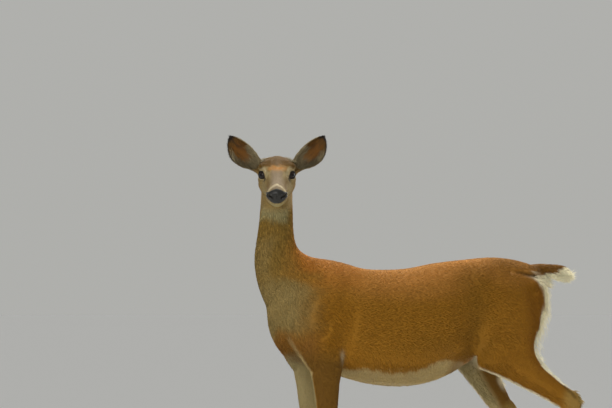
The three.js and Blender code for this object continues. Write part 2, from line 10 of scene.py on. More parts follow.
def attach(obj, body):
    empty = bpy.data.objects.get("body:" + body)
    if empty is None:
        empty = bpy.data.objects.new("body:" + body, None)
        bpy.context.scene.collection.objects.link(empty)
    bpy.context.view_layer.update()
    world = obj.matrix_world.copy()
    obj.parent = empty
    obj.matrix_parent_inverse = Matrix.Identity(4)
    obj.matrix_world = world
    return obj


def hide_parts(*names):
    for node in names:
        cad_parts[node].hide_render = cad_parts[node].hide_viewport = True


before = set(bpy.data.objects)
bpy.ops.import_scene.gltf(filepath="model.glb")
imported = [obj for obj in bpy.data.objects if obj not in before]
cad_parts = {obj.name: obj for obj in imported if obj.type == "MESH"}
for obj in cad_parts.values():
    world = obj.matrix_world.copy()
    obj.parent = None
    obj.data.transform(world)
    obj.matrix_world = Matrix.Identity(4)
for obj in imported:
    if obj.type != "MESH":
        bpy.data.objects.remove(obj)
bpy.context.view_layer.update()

# ------------------------------------------------------------------------------------------- camera
# A level camera with a long lens, a little ahead of the doe's left side and as high as her neck.
CAMERA_AZIMUTH = math.radians(-20)
CAMERA_DISTANCE = 30.0
VIEW_WIDTH = 1.943  # metres across the view, at the doe
LOOK_ALONG = Vector((-math.sin(CAMERA_AZIMUTH), math.cos(CAMERA_AZIMUTH), 0))
TO_THE_RIGHT = Vector((math.cos(CAMERA_AZIMUTH), math.sin(CAMERA_AZIMUTH), 0))
aim = TO_THE_RIGHT * -0.331 + Vector((0, 0, 1.057))
stand = aim - LOOK_ALONG * CAMERA_DISTANCE
bpy.ops.object.camera_add(location=stand, rotation=(math.pi / 2, 0, CAMERA_AZIMUTH))
camera = bpy.context.object
camera.name = "camera"
camera.data.sensor_width = 36
camera.data.lens = 36 * CAMERA_DISTANCE / VIEW_WIDTH
camera.data.clip_end = 200
bpy.context.scene.camera = camera

# --------------------------------------------------------------------------------------------- skin
# One skin covers the whole doe, as in life. It is grown over the solids of the flesh, relaxed until the
# muscles run into each other, and drawn in by the depth of the coat that lies on it.
SKIN_GRAIN = 0.0032
RELAX_ROUNDS = 100
SOFTNESS = {"trunk": 23, "neck": 12, "leg": 4.2, "tail": 7, "head": 3}  # millimetres over which forms blend
COAT_DEPTH = {"body": 0.0008, "leg": 0.0006, "head": 0.0006}  # on top of what relaxing takes off
MIDLINE = 0.0685  # where her middle plane is, along y
TAIL_ROOT, TAIL_SHARE = 0.43, 0.92  # the tail's skin ends a little before its hair


def choose(*objs):
    """Selects these alone, with the first of them active."""
    bpy.ops.object.select_all(action="DESELECT")
    for obj in objs:
        obj.select_set(True)
    bpy.context.view_layer.objects.active = objs[0]


def copy_of(source, name):
    """A bare copy with a mesh of its own, chosen."""
    made = source.copy()
    made.data = source.data.copy()
    made.data.materials.clear()
    made.name = name
    bpy.context.collection.objects.link(made)
    for key in list(made.keys()):
        del made[key]
    made.parent = None
    choose(made)
    return made


flesh = [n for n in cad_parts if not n.startswith(("hoof_", "ear_"))]
copies = [copy_of(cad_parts[name], "skin") for name in flesh]
choose(*copies)
bpy.ops.object.join()
skin = copies[0]
skin.data.remesh_voxel_size = SKIN_GRAIN
skin.data.remesh_voxel_adaptivity = 0
bpy.ops.object.voxel_remesh()


def read(items, name, width=3, kind=np.float32):
    """A property of every item, as rows that wide."""
    found = np.empty(len(items) * width, kind)
    items.foreach_get(name, found)
    return found.reshape(-1, width)


def points_of(obj):
    return read(obj.data.vertices, "co").astype(float)


def normals_of(obj):
    return read(obj.data.vertices, "normal").astype(float)


def set_points(obj, points):
    obj.data.vertices.foreach_set("co", points.astype(np.float32).ravel())
    obj.data.update()


def rise(value, low, high):
    """0 below low, 1 above high, and smooth between; low may be the greater."""
    t = np.clip((value - low) / (high - low), 0, 1)
    return t * t * (3 - 2 * t)


def unit(vectors):
    vectors = np.asarray(vectors, float)
    return vectors / np.maximum(np.linalg.norm(vectors, axis=-1, keepdims=True), 1e-12)


def blurred(obj, values, strength, rounds):
    """The values on the points, drawn each round towards the mean of their neighbours by their strength."""
    a, b = read(obj.data.edges, "vertices", 2, np.int32).T
    count = len(values)
    near = np.bincount(a, minlength=count) + np.bincount(b, minlength=count)
    share = (strength / np.maximum(near, 1))[:, None]
    for _ in range(rounds):
        there = [np.bincount(a, v[b], minlength=count) for v in values.T]
        back = [np.bincount(b, v[a], minlength=count) for v in values.T]
        values = values + share * (np.stack(there, 1) + np.stack(back, 1) - near[:, None] * values)
    return values


def relax(obj, strength, rounds):
    set_points(obj, blurred(obj, points_of(obj), strength, rounds))


# The head's own frame, in millimetres: forward along the nose, to her left, and up from the bridge.
HEAD_TURN = math.radians(70)
HEAD_PITCH = math.radians(18)
EYE = np.array([-160.0, 40.0, 20.0])
head_turn = Matrix.Rotation(math.pi + HEAD_TURN, 3, "Z") @ Matrix.Rotation(HEAD_PITCH, 3, "Y")
HEAD_AXES = np.array(head_turn)
NOSE = np.array([-0.475, -0.0695, 1.149]) - HEAD_AXES @ np.array([-0.160, 0, 0.020])


def in_head(points):
    return (points - NOSE) @ HEAD_AXES * 1000


def from_head(local):
    return np.asarray(local) / 1000 @ HEAD_AXES.T + NOSE


def one_side(local):
    """Places in the head's frame, with those on her right mirrored to her left."""
    return local * (1, 0, 1) + np.abs(local) * (0, 1, 0)


def mixed(value, goal, share):
    """The value drawn to the goal by that share."""
    return value + (goal - value) * share


def shares_of(points):
    """How much of each point is head, neck, leg and tail, from 0 to 1."""
    x, y, z = points.T
    local = in_head(points)
    head = rise(local[:, 0], -266, -226) * rise(np.abs(local[:, 1]), 100, 80) * rise(local[:, 2], -116, -86)
    head = head * rise(z, 1.02, 1.05)
    tail = rise(x, 0.405, 0.435) * rise(z, 0.785, 0.805) * rise(np.abs(y - MIDLINE), 0.060, 0.045)
    leg = rise(z, 0.64, 0.50)
    neck = rise(z, 0.80, 0.93) * rise(x, -0.27, -0.34) * (1 - head)
    return head, neck, leg, tail


def by_part(points, trunk, neck, leg, tail, head):
    """A value for each point that passes smoothly from part to part."""
    on_head, on_neck, on_leg, on_tail = shares_of(points)
    value = mixed(mixed(trunk, neck, on_neck), leg, on_leg)
    return mixed(mixed(value, tail, on_tail), head, on_head)


softness = by_part(points_of(skin), **SOFTNESS)
grain_share = RELAX_ROUNDS * (SKIN_GRAIN * 1000) ** 2 / 2
relax(skin, np.minimum(softness**2 / grain_share, 1), RELAX_ROUNDS)


def from_line(points, a, b):
    """How far each point is from the line from a to b."""
    a, b = np.array(a, float), np.array(b, float)
    t = np.clip((points - a) @ (b - a) / max((b - a) @ (b - a), 1e-12), 0, 1)
    return np.linalg.norm(points - a - t[:, None] * (b - a), axis=1)


def stroke(distance, reach, height):
    """A rounded ridge or groove of that height, fading to nothing at its reach."""
    return height * np.clip(1 - (distance / reach) ** 2, 0, 1) ** 2


# Muscles and bones that show through, as strokes on her side: which side, a line in x and z, how wide
# and how high, in millimetres. A groove's height is below 0.
BOTH, LEFT, RIGHT = (-1, 1), (-1,), (1,)
SIDE_STROKES = [
    (BOTH, (-240, 822), (-318, 694), 42, 2.4),  # ridge of the shoulder blade
    (BOTH, (-268, 800), (-300, 730), 32, -1.2),
    (BOTH, (-178, 800), (-226, 620), 68, -5.0),  # hollow behind the shoulder
    (BOTH, (-252, 706), (-268, 620), 58, 4.4),  # triceps
    (BOTH, (-322, 664), (-322, 672), 34, 4.5),  # point of the shoulder
    (BOTH, (-338, 742), (-352, 700), 30, -3.5),
    (BOTH, (-258, 558), (-258, 562), 20, 4.0),  # elbow
    (BOTH, (192, 776), (200, 660), 86, -6.0),  # hollow of the flank
    (BOTH, (240, 828), (246, 836), 44, 3.2),  # point of the hip
    (BOTH, (330, 760), (350, 690), 78, 5.0),  # thigh
    (BOTH, (404, 770), (444, 640), 34, -2.0),  # crease at the back of the thigh
    (BOTH, (420, 800), (424, 804), 24, 3.0),  # pin bone
    (LEFT, (292, 566), (310, 590), 52, 2.6),  # stifle
    (RIGHT, (244, 588), (256, 610), 52, 2.6),
    (LEFT, (168, 592), (206, 576), 42, 6.0),  # web of skin between flank and thigh
    (RIGHT, (150, 606), (186, 590), 42, 6.0),
    (BOTH, (338, 844), (434, 829), 14, -3.6),  # crease below the root of the tail
    (LEFT, (430, 520), (535, 455), 18, -2.6),  # between the tendon and the shin
    (RIGHT, (315, 500), (378, 410), 18, -2.6),
]
points, normals = points_of(skin) * 1000, normals_of(skin)
across = points[:, 1] - MIDLINE * 1000
flat = points[:, [0, 2]]
lift = np.zeros(len(points))
for sides, a, b, reach, height in SIDE_STROKES:
    for side in sides:
        facing = rise(normals[:, 1] * side, 0.15, 0.55) * rise(across * side, 12, 30)
        lift += facing * stroke(from_line(flat, a, b), reach, height)
# Knees, hocks, fetlocks, and the groove between each cannon bone and its tendons: where the cannon bone
# starts and ends, in x and z, and its y.
LEG_LINES = {
    "fore_left": ((-286, 285), (-285, 96), -7.5),
    "fore_right": ((-286, 285), (-285, 96), 144.5),
    "hind_left": ((552, 418), (567, 124), -12.5),
    "hind_right": ((395, 362), (307, 100), 149.0),
}
level = points[:, 2]
front, rear = rise(-normals[:, 0], 0.2, 0.8), rise(normals[:, 0], 0.2, 0.8)
for leg, (top, foot, y) in LEG_LINES.items():
    near = rise(np.abs(points[:, 1] - y), 48, 34)
    a, b = np.array(top, float), np.array(foot, float)
    back = np.array([5.0, 0.0])
    groove = from_line(flat, a + back + (b - a) * 0.16, b + back + (a - b) * 0.16)
    lift += near * stroke(groove, 7, -2.2) * np.abs(normals[:, 1])
    lift += near * stroke(np.abs(level - foot[1] + 2), 22, 2.4) * rear * (level < 200)
    if leg.startswith("fore"):
        lift += near * stroke(np.abs(level - top[1] - 4), 24, 2.2) * front
        lift += near * stroke(np.abs(level - top[1] - 10), 16, 3.6) * rear
        lift += near * stroke(np.abs(level - top[1] + 34), 16, -1.6) * front
    else:
        lift += near * stroke(from_line(flat, a + (22, 34), a + (14, 60)), 18, 3.2)
        lift += near * stroke(from_line(flat, a + (-4, -14), a + (-8, -34)), 12, 1.6) * front
# The dip along the back, and the ridge of the spine in it.
along_back = rise(normals[:, 2], 0.6, 0.95) * rise(points[:, 2], 760, 800)
lift += along_back * stroke(np.abs(across), 30, -2.0) * rise(points[:, 0], -200, -120)
lift += along_back * stroke(np.abs(across), 14, 1.4)
points += normals * lift[:, None]
points = points / 1000
depth = by_part(points, COAT_DEPTH["body"], 0.0002, COAT_DEPTH["leg"], 0.004, COAT_DEPTH["head"])
depth *= rise(points[:, 2], 0.040, 0.060)
points -= normals * depth[:, None]
points[:, 2] -= 0.006 * rise(points[:, 2], 0.046, 0.038)  # into the tops of the hooves
beyond = points[:, 0] - TAIL_ROOT
points[:, 0] = np.where(beyond > 0, TAIL_ROOT + TAIL_SHARE * beyond, points[:, 0])
set_points(skin, points)


def refine(obj, chosen):
    """Divides in two each way the faces for which chosen, called with their middles, holds."""
    choose(obj)
    bpy.context.tool_settings.mesh_select_mode = (False, False, True)
    obj.data.vertices.foreach_set("select", np.zeros(len(obj.data.vertices), bool))
    obj.data.edges.foreach_set("select", np.zeros(len(obj.data.edges), bool))
    obj.data.polygons.foreach_set("select", chosen(read(obj.data.polygons, "center").astype(float)))
    bpy.ops.object.mode_set(mode="EDIT")
    bpy.ops.mesh.subdivide(number_cuts=1)
    bpy.ops.object.mode_set(mode="OBJECT")


def on_face(points):
    local = in_head(points)
    return (local[:, 0] > -250) & (np.abs(local[:, 1]) < 80) & (local[:, 2] > -100) & (points[:, 2] > 1.03)


def to_eye(local):
    """How far a place on the head is from the middle of the nearer eye's opening."""
    return np.linalg.norm(one_side(local) - EYE - (6, 10, 1), axis=1)


def by_bones(points):
    local = in_head(points)
    return on_face(points) & (local[:, 0] > -214) & (local[:, 2] > -72)


def by_features(points):
    """Near the eyes, the nose and the mouth, where the skin has its finest forms."""
    local = in_head(points)
    return on_face(points) & ((to_eye(local) < 25) | (local[:, 0] > -30))


def by_lids(points):
    local = in_head(points)
    nostril = np.linalg.norm(one_side(local) - (4, 26, 1), axis=1) < 12
    return on_face(points) & ((to_eye(local) < 18) | nostril)


refine(skin, by_bones)
refine(skin, by_features)
refine(skin, by_lids)
relax(skin, 0.5 * on_face(points_of(skin)), 6)

# The face: bones, muscles, nose and mouth, as strokes in the head's frame, each also mirrored.
FACE_STROKES = [
    ((-140, 44, 42), (-178, 50, 46), 15, 3.0),  # brow
    ((-148, 54, 0), (-202, 56, -4), 13, 3.2),  # cheekbone
    ((-202, 56, -4), (-232, 52, 2), 13, 1.6),
    ((-192, 50, 28), (-206, 48, 30), 18, -3.6),  # temple
    ((-200, 48, -30), (-190, 42, -58), 38, 6.5),  # jaw muscle
    ((-150, 46, -22), (-176, 50, -22), 26, 3.0),  # cheek
    ((-186, 38, 44), (-236, 37, 36), 31, 8.0),  # side of the crown
    ((-172, 56, 10), (-188, 56, 14), 17, 4.0),  # outer rim of the eye socket
    ((-158, 46, -26), (-168, 38, -62), 12, -2.4),
    ((-142, 45, -4), (-104, 36, -12), 12, 2.2),  # the crest below the eye
    ((-116, 34, 22), (-60, 27, 14), 15, -2.8),  # beside the bridge
    ((-120, 14, 44), (-40, 14, 30), 11, 1.2),
    ((-150, 0, 52), (-178, 0, 60), 26, -1.4),  # dish of the forehead
    ((-192, 26, 60), (-206, 26, 60), 22, 1.6),
    ((-26, 29, -10), (-56, 28, -8), 15, 2.2),  # upper lip
    ((-12, 0, -40), (-30, 0, -42), 16, 2.0),  # chin
    ((-96, 0, -52), (-190, 0, -76), 14, -3.0),  # between the jaws
    ((0, 0, 4), (-1, 0, -8), 30, 5.0),  # ball of the nose
    ((-3, 26, 1), (-11, 31, 3), 15, 3.8),  # wings of the nostrils
    ((-4, 24, -16), (-14, 30, -14), 11, 1.4),
]
FACE_GROOVES = [
    ((3, 17, -4), (2, 24, -1), 6.4, -8.0),  # nostrils
    ((2, 24, -1), (-6, 31, 4), 6.4, -8.0),
    ((-6, 31, 4), (-17, 35, 2), 4.8, -4.2),
    ((-17, 35, 2), (-24, 35, -6), 4.2, -2.4),
    ((4, 0, 2), (-1, 0, -24), 3.2, -1.8),  # the groove below the nose
    ((-4, 0, -26), (-6, 14, -26), 3.8, -3.4),  # mouth
    ((-6, 14, -26), (-15, 28, -25), 3.8, -3.4),
    ((-15, 28, -25), (-32, 33, -24), 3.8, -3.2),
    ((-32, 33, -24), (-84, 34, -17), 4.2, -2.8),
    ((-84, 34, -17), (-92, 36, -20), 5.0, -1.6),
    ((-141, 52, 10), (-122, 45, 3), 4.2, -3.4),  # the slit of the gland before the eye
    ((-138, 49, 20), (-146, 50, 16), 4.0, -1.2),
]
for strokes in (FACE_STROKES, FACE_GROOVES):
    world, normals = points_of(skin), normals_of(skin)
    near = on_face(world)
    local = one_side(in_head(world))[near]
    lift = np.zeros(len(world))
    for a, b, reach, height in strokes:
        lift[near] += stroke(from_line(local, a, b), reach, height)
    set_points(skin, world + normals * lift[:, None] / 1000)
# The lower lip sits inside the upper one.
world = points_of(skin)
local = in_head(world)
lip = rise(local[:, 2], -25, -30) * rise(local[:, 0], -96, -70) * on_face(world)
local[:, 1] *= 1 - 0.07 * lip
local[:, 0] -= 3.0 * lip * rise(local[:, 0], -30, -5)
set_points(skin, np.where(lip[:, None] > 0, from_head(local), world))

# The lids: the skin is drawn onto a ball just over each eye, and opened in the shape of an almond.
EYE_RADIUS = 17.0
LID = 2.0
GAZE = unit([0.70, 0.70, 0.13])
LID_TILT = math.radians(16)  # the inner corner is the lower
OPENING = {"long": 16.4, "up": 10.4, "down": 8.8}
forward = unit(np.array([1, 0, 0]) - GAZE * GAZE[0])
upward = np.cross(forward, GAZE)
upward = upward if upward[2] > 0 else -upward
LID_LINE = forward * math.cos(LID_TILT) - upward * math.sin(LID_TILT)
LID_UP = upward * math.cos(LID_TILT) + forward * math.sin(LID_TILT)


def at_eye(points):
    """Distance from the nearer eye's middle, the angle off its gaze, and the place over the ball: forward
    and up in millimetres, and how far inside the opening that is."""
    out = one_side(in_head(points)) - EYE
    far = np.linalg.norm(out, axis=1)
    gaze = out @ GAZE
    off = np.degrees(np.arccos(np.clip(gaze / np.maximum(far, 1e-9), -1, 1)))
    a = EYE_RADIUS * np.arctan2(out @ LID_LINE, np.maximum(gaze, 1e-6))
    b = EYE_RADIUS * np.arctan2(out @ LID_UP, np.maximum(gaze, 1e-6))
    arch = np.clip(1 - (a / OPENING["long"]) ** 2, 0, 1)
    within = np.minimum(OPENING["up"] * arch**0.7 - b, b + OPENING["down"] * arch**0.85)
    beyond = np.maximum(np.abs(a) - OPENING["long"], 0)
    within = np.where(beyond > 0, -np.hypot(beyond, np.abs(b)), within)
    return far, off, a, b, within


world = points_of(skin)
far, off, a, b, within = at_eye(world)
near = (far < 46) & (off < 84) & on_face(world)
ball = rise(off, 80, 52)
target = EYE_RADIUS + LID
fold = stroke(np.abs(within + 5.5), 2.6, -1.1) * (b > 0) + stroke(np.abs(within + 4.5), 2.2, -0.6) * (b < 0)
target = target + fold - (LID + 2.4) * rise(within, -0.7, 0.7)
radius = far + (target - far) * ball
local = in_head(world)
side = np.sign(local[:, 1])
centre = np.stack([np.full_like(side, EYE[0]), side * EYE[1], np.full_like(side, EYE[2])], 1)
moved = centre + (local - centre) * (radius / np.maximum(far, 1e-9))[:, None]
set_points(skin, np.where(near[:, None], from_head(moved), world))

# --------------------------------------------------------------------------------------------- ears
# Two leaves of gristle in thin skin, rolled into a tube at the root and open to the front, and grown
# into the skin of the head.
EAR_LENGTH = 150
EAR_RISE, EAR_SWEEP = math.radians(46.5), math.radians(5)
# Along the ear: how far it reaches below and above its midline, its depth, and how far it rolls.
EAR_FORM = np.array(
    [
        (-0.10, 15, 14, 24, 165),
        (0.00, 16, 15, 26, 160),
        (0.08, 18, 16, 27, 146),
        (0.19, 25, 19, 28, 122),
        (0.33, 37, 23, 26, 92),
        (0.48, 45, 25, 23, 74),
        (0.62, 46, 24, 19, 62),
        (0.76, 39, 20, 14, 52),
        (0.88, 26, 13.5, 9, 42),
        (0.955, 13.5, 7, 5, 34),
        (0.99, 5, 3, 2.4, 28),
        (1.00, 1.6, 1.2, 1, 25),
    ]
)
EAR_THICK = (5.5, 2.3)  # at the root and over the leaf
ALONG, ACROSS = 56, 33


def ear_frame(side):
    """The root, and the ways along the ear, to its lower edge and out of its open face."""
    heading = np.array([-math.cos(HEAD_TURN), -math.sin(HEAD_TURN), 0])
    outward = np.array([math.sin(HEAD_TURN), -math.cos(HEAD_TURN), 0]) * side
    root = from_head([-228, 46 * side, 12])
    axis = outward * math.cos(EAR_RISE) + np.array([0, 0, math.sin(EAR_RISE)]) - heading * math.sin(EAR_SWEEP)
    axis = unit(axis)
    face = unit(heading - axis * (heading @ axis))
    down = unit(np.cross(axis, face))
    return root, axis, down if down[2] < 0 else -down, face


def smooth_between(at, known, values):
    """Values between the known ones on a smooth curve."""
    slope = np.gradient(values, known)
    i = np.clip(np.searchsorted(known, at) - 1, 0, len(known) - 2)
    h = known[i + 1] - known[i]
    t = (at - known[i]) / h
    return (
        values[i] * (2 * t**3 - 3 * t**2 + 1)
        + values[i + 1] * (3 * t**2 - 2 * t**3)
        + h * slope[i] * (t**3 - 2 * t**2 + t)
        + h * slope[i + 1] * (t**3 - t**2)
    )


def ear_leaf(side):
    """The ear as rows of points on its inner face and its outer one."""
    root, axis, down, face = ear_frame(side)
    along = EAR_FORM[0, 0] + (1 - EAR_FORM[0, 0]) * (1 - (1 - np.linspace(0, 1, ALONG)) ** 1.25)
    low, high, cup, roll = (smooth_between(along, EAR_FORM[:, 0], EAR_FORM[:, k]) for k in (1, 2, 3, 4))
    share = np.linspace(-1, 1, ACROSS)
    turn = np.radians(roll)[:, None] * share
    widest = np.sin(np.minimum(np.radians(roll), math.pi / 2))[:, None]
    reach = np.where(share > 0, low[:, None], high[:, None])
    sideways = reach * np.sin(turn) / widest
    forward = cup[:, None] * ((1 - np.cos(turn)) / (1 - np.cos(np.radians(roll))[:, None]) - 0.35)
    ripple = 0.9 * np.sin(along * 17)[:, None] * rise(np.abs(share), 0.5, 1.0)
    forward = forward + ripple * rise(along, 0.15, 0.4)[:, None]
    leaf = along[:, None, None] * EAR_LENGTH * axis + sideways[..., None] * down + forward[..., None] * face
    middle = root + leaf / 1000
    du, dv = np.gradient(middle, axis=0), np.gradient(middle, axis=1)
    out = unit(np.cross(du, dv))
    if (out[ALONG // 2, ACROSS // 2] @ face) < 0:
        out = -out
    thick = EAR_THICK[1] + (EAR_THICK[0] - EAR_THICK[1]) * rise(along, 0.30, 0.0)
    thick = thick[:, None] * (1 - 0.62 * np.abs(share) ** 5)
    return middle + out * thick[..., None] / 2000, middle - out * thick[..., None] / 2000


def placed(name, mesh):
    """A new object of the scene with that mesh."""
    made = bpy.data.objects.new(name, mesh)
    bpy.context.collection.objects.link(made)
    return made


def mesh_of(name, points, faces):
    mesh = bpy.data.meshes.new(name)
    mesh.from_pydata([tuple(p) for p in points], [], faces)
    mesh.validate()
    return placed(name, mesh)


def edit_whole(obj, operator, **settings):
    """Runs a mesh operator on all of the object in edit mode."""
    choose(obj)
    bpy.ops.object.mode_set(mode="EDIT")
    bpy.ops.mesh.select_all(action="SELECT")
    operator(**settings)
    bpy.ops.object.mode_set(mode="OBJECT")


def shape(obj, kind, **settings):
    """Adds a modifier with these settings and applies it."""
    made = obj.modifiers.new(kind.lower(), kind)
    for name, value in settings.items():
        setattr(made, name, value)
    choose(obj)
    bpy.ops.object.modifier_apply(modifier=made.name)


ears = []
for side in BOTH:
    inner, outer = ear_leaf(side)
    points = np.concatenate([inner.reshape(-1, 3), outer.reshape(-1, 3)])
    count = ALONG * ACROSS
    at = lambda i, j, back: i * ACROSS + j + back * count
    faces = []
    for i in range(ALONG - 1):
        for j in range(ACROSS - 1):
            faces.append((at(i, j, 0), at(i + 1, j, 0), at(i + 1, j + 1, 0), at(i, j + 1, 0)))
            faces.append((at(i, j, 1), at(i, j + 1, 1), at(i + 1, j + 1, 1), at(i + 1, j, 1)))
        for j, flip in ((0, False), (ACROSS - 1, True)):
            rim = (at(i, j, 0), at(i, j, 1), at(i + 1, j, 1), at(i + 1, j, 0))
            faces.append(rim[::-1] if flip else rim)
    for i, flip in ((0, False), (ALONG - 1, True)):
        for j in range(ACROSS - 1):
            end = (at(i, j, 0), at(i, j + 1, 0), at(i, j + 1, 1), at(i, j, 1))
            faces.append(end[::-1] if flip else end)
    ears.append(mesh_of("ear", points, faces))
    edit_whole(ears[-1], bpy.ops.mesh.normals_make_consistent, inside=False)
for ear in ears:
    shape(skin, "BOOLEAN", operation="UNION", object=ear, solver="MANIFOLD")
    bpy.data.objects.remove(ear, do_unlink=True)


def at_ear(points, side):
    """Where points are on that ear: along it, towards its lower edge, and out of its open face, the first
    as a share of its length and the others in millimetres."""
    root, axis, down, face = ear_frame(side)
    out = (points - root) * 1000
    return out @ axis / EAR_LENGTH, out @ down, out @ face


def ear_share(points):
    """How much of each point is ear."""
    share = np.zeros(len(points))
    for side in BOTH:
        along, low, out = at_ear(points, side)
        near = rise(along, 0.10, 0.24) * (along < 1.05) * (np.abs(low) < 52) * (np.abs(out) < 34)
        share = np.maximum(share, near)
    return share


world = points_of(skin)
join = np.zeros(len(world))
for side in BOTH:
    along, low, out = at_ear(world, side)
    root = rise(along, 0.34, 0.16) * rise(along, -0.25, -0.05)
    join = np.maximum(join, root * rise(np.hypot(low, out), 42, 30))
relax(skin, 0.6 * join, 14)

# ------------------------------------------------------------------------------ colours of the coat
# A summer coat: red-brown over the back and sides, grizzled grey on neck and chest, and white on the
# belly, the inner sides of the legs, the rump's edge and under the tail.
# Highlights and shade are painted into some of these colours: lighter on the top of the back and the withers,
# darker in the flank's hollow, under the body, and in the creases below the tail and above the hocks.
def tone(red, green, blue):
    channel = np.array([red, green, blue], float) / 255
    return np.where(channel <= 0.04045, channel / 12.92, ((channel + 0.055) / 1.055) ** 2.4)


# Red, green and blue, as seen.
TONES = {
    "side": (142, 97, 22),
    # back: a lighter tone, painted highlight on the sky-facing top of the back
    "back": (174, 120, 54),
    "spine": (138, 94, 38),
    "haunch": (140, 95, 22),
    # a darker brown, painted shade in the hollow of the flank and low on the barrel
    "flank": (106, 73, 14),
    "rump_edge": (120, 76, 14),
    "shoulder": (138, 93, 18),
    "chest": (133, 113, 67),
    "brisket": (124, 84, 32),
    "nape": (137, 98, 36),
    "neck": (126, 99, 43),
    "throat": (142, 132, 92),
    "white": (236, 228, 196),
    # belly: the white of the underside greyed down, painted shade under the body; also the breast's pale edge
    "belly": (176, 154, 104),
    "leg": (104, 72, 20),
    "shin": (134, 100, 48),
    "inner_leg": (146, 131, 90),
    "hock": (154, 130, 72),
    # a near black, painted shade in the crease below the tail and along the cords above the hocks
    "hollow": (56, 36, 8),
    # withers: a light orange, painted highlight over the top of the withers, also laid on the back of the low
    # neck
    "withers": (176, 110, 38),
    "rump_top": (138, 94, 32),
    "groin": (142, 120, 80),
    "tail": (118, 80, 28),
    "cheek": (142, 124, 82),
    "bridge": (120, 103, 78),
    "temple": (110, 84, 42),
    "brow": (166, 112, 44),
    "crown": (88, 62, 10),
    "pale": (180, 163, 126),
    "eyebrow": (197, 184, 149),
    "chin": (142, 130, 88),
    "jaw": (138, 108, 54),
    "ring": (150, 132, 94),
    "dark": (15, 13, 10),
    "muzzle": (110, 90, 60),
    "ear_back": (112, 88, 50),
    "ear_inner": (106, 67, 20),
    "ear_edge": (68, 50, 22),
    "ear_hair": (160, 146, 112),
    "ear_rim": (30, 24, 18),
    "ear_base": (164, 146, 102),
}
COAT = {name: tone(*seen) for name, seen in TONES.items()}


def painted(colours, layers, share=1.0):
    """The colours with layers laid on in turn, each a name from the coat and how much of it goes where."""
    for name, mask in layers:
        colours = mixed(colours, COAT[name], (share * mask)[:, None])
    return colours


def drift(points, size, seed):
    """A slow wandering between -1 and 1 over the body, with waves about that many metres long."""
    draw = np.random.default_rng(seed)
    total = np.zeros(len(points))
    for _ in range(7):
        way = unit(draw.normal(size=3)) * draw.uniform(0.6, 1.5) * 2 * math.pi / size
        total += np.sin(points @ way + draw.uniform(0, 6.3))
    return total / 3.2


def bell(value, middle, reach):
    return np.exp(-(((value - middle) / reach) ** 2))


# Where the brown of her side ends, along x and up, in millimetres.
BELLY_LINE = (
    [-240, -222, -163, -104, -40, 7, 47, 74, 100, 139, 182, 257, 327, 433],
    [532, 536, 539, 528, 524, 535, 549, 558, 564, 561, 549, 515, 482, 430],
)


def outward(normals, points):
    """How far each normal points away from her middle plane, from -1 to 1."""
    return normals[:, 1] * np.where(points[:, 1] < MIDLINE, -1.0, 1.0)


def white_behind(points, normals):
    """How much of each point is the white edge of the rump and of the backs of the thighs."""
    x, _, z = (points * 1000).T
    edge = np.interp(z, [480, 560, 640, 720, 770, 820], [0.68, 0.72, 0.70, 0.66, 0.74, 0.76])
    edge += 0.02 * drift(points, 0.05, 5)
    share = rise(normals[:, 0], 0.20, 0.42) * rise(x, 330, 380) * rise(z, 848, 838) * rise(z, 450, 500)
    return share * rise(outward(normals, points), edge + 0.08, edge - 0.08)


# How far the front of the neck has turned from the body's heading, by height in millimetres, in degrees.
NECK_TURN = ([742, 858, 906, 950, 996, 1042, 1126], [0, 8, 22, 38, 52, 62, 70])
# Each hind leg's side, the middle of its hock, and the ends of the cord above it, where shade is painted, in x
# and z.
HOCKS = ((-1, (556, 436), (500, 492), (552, 440)), (1, (402, 378), (340, 440), (396, 384)))
OTHER_LEG = 40  # added to a distance on the leg that is not meant
BREAST_LINE = ((-387, 634), (-315, 524))  # pale edge of the breast, across the view and up
# The crease below the root of the tail, where shade is painted, in x and z.
TAIL_CREASE = ((350, 842), (432, 829))


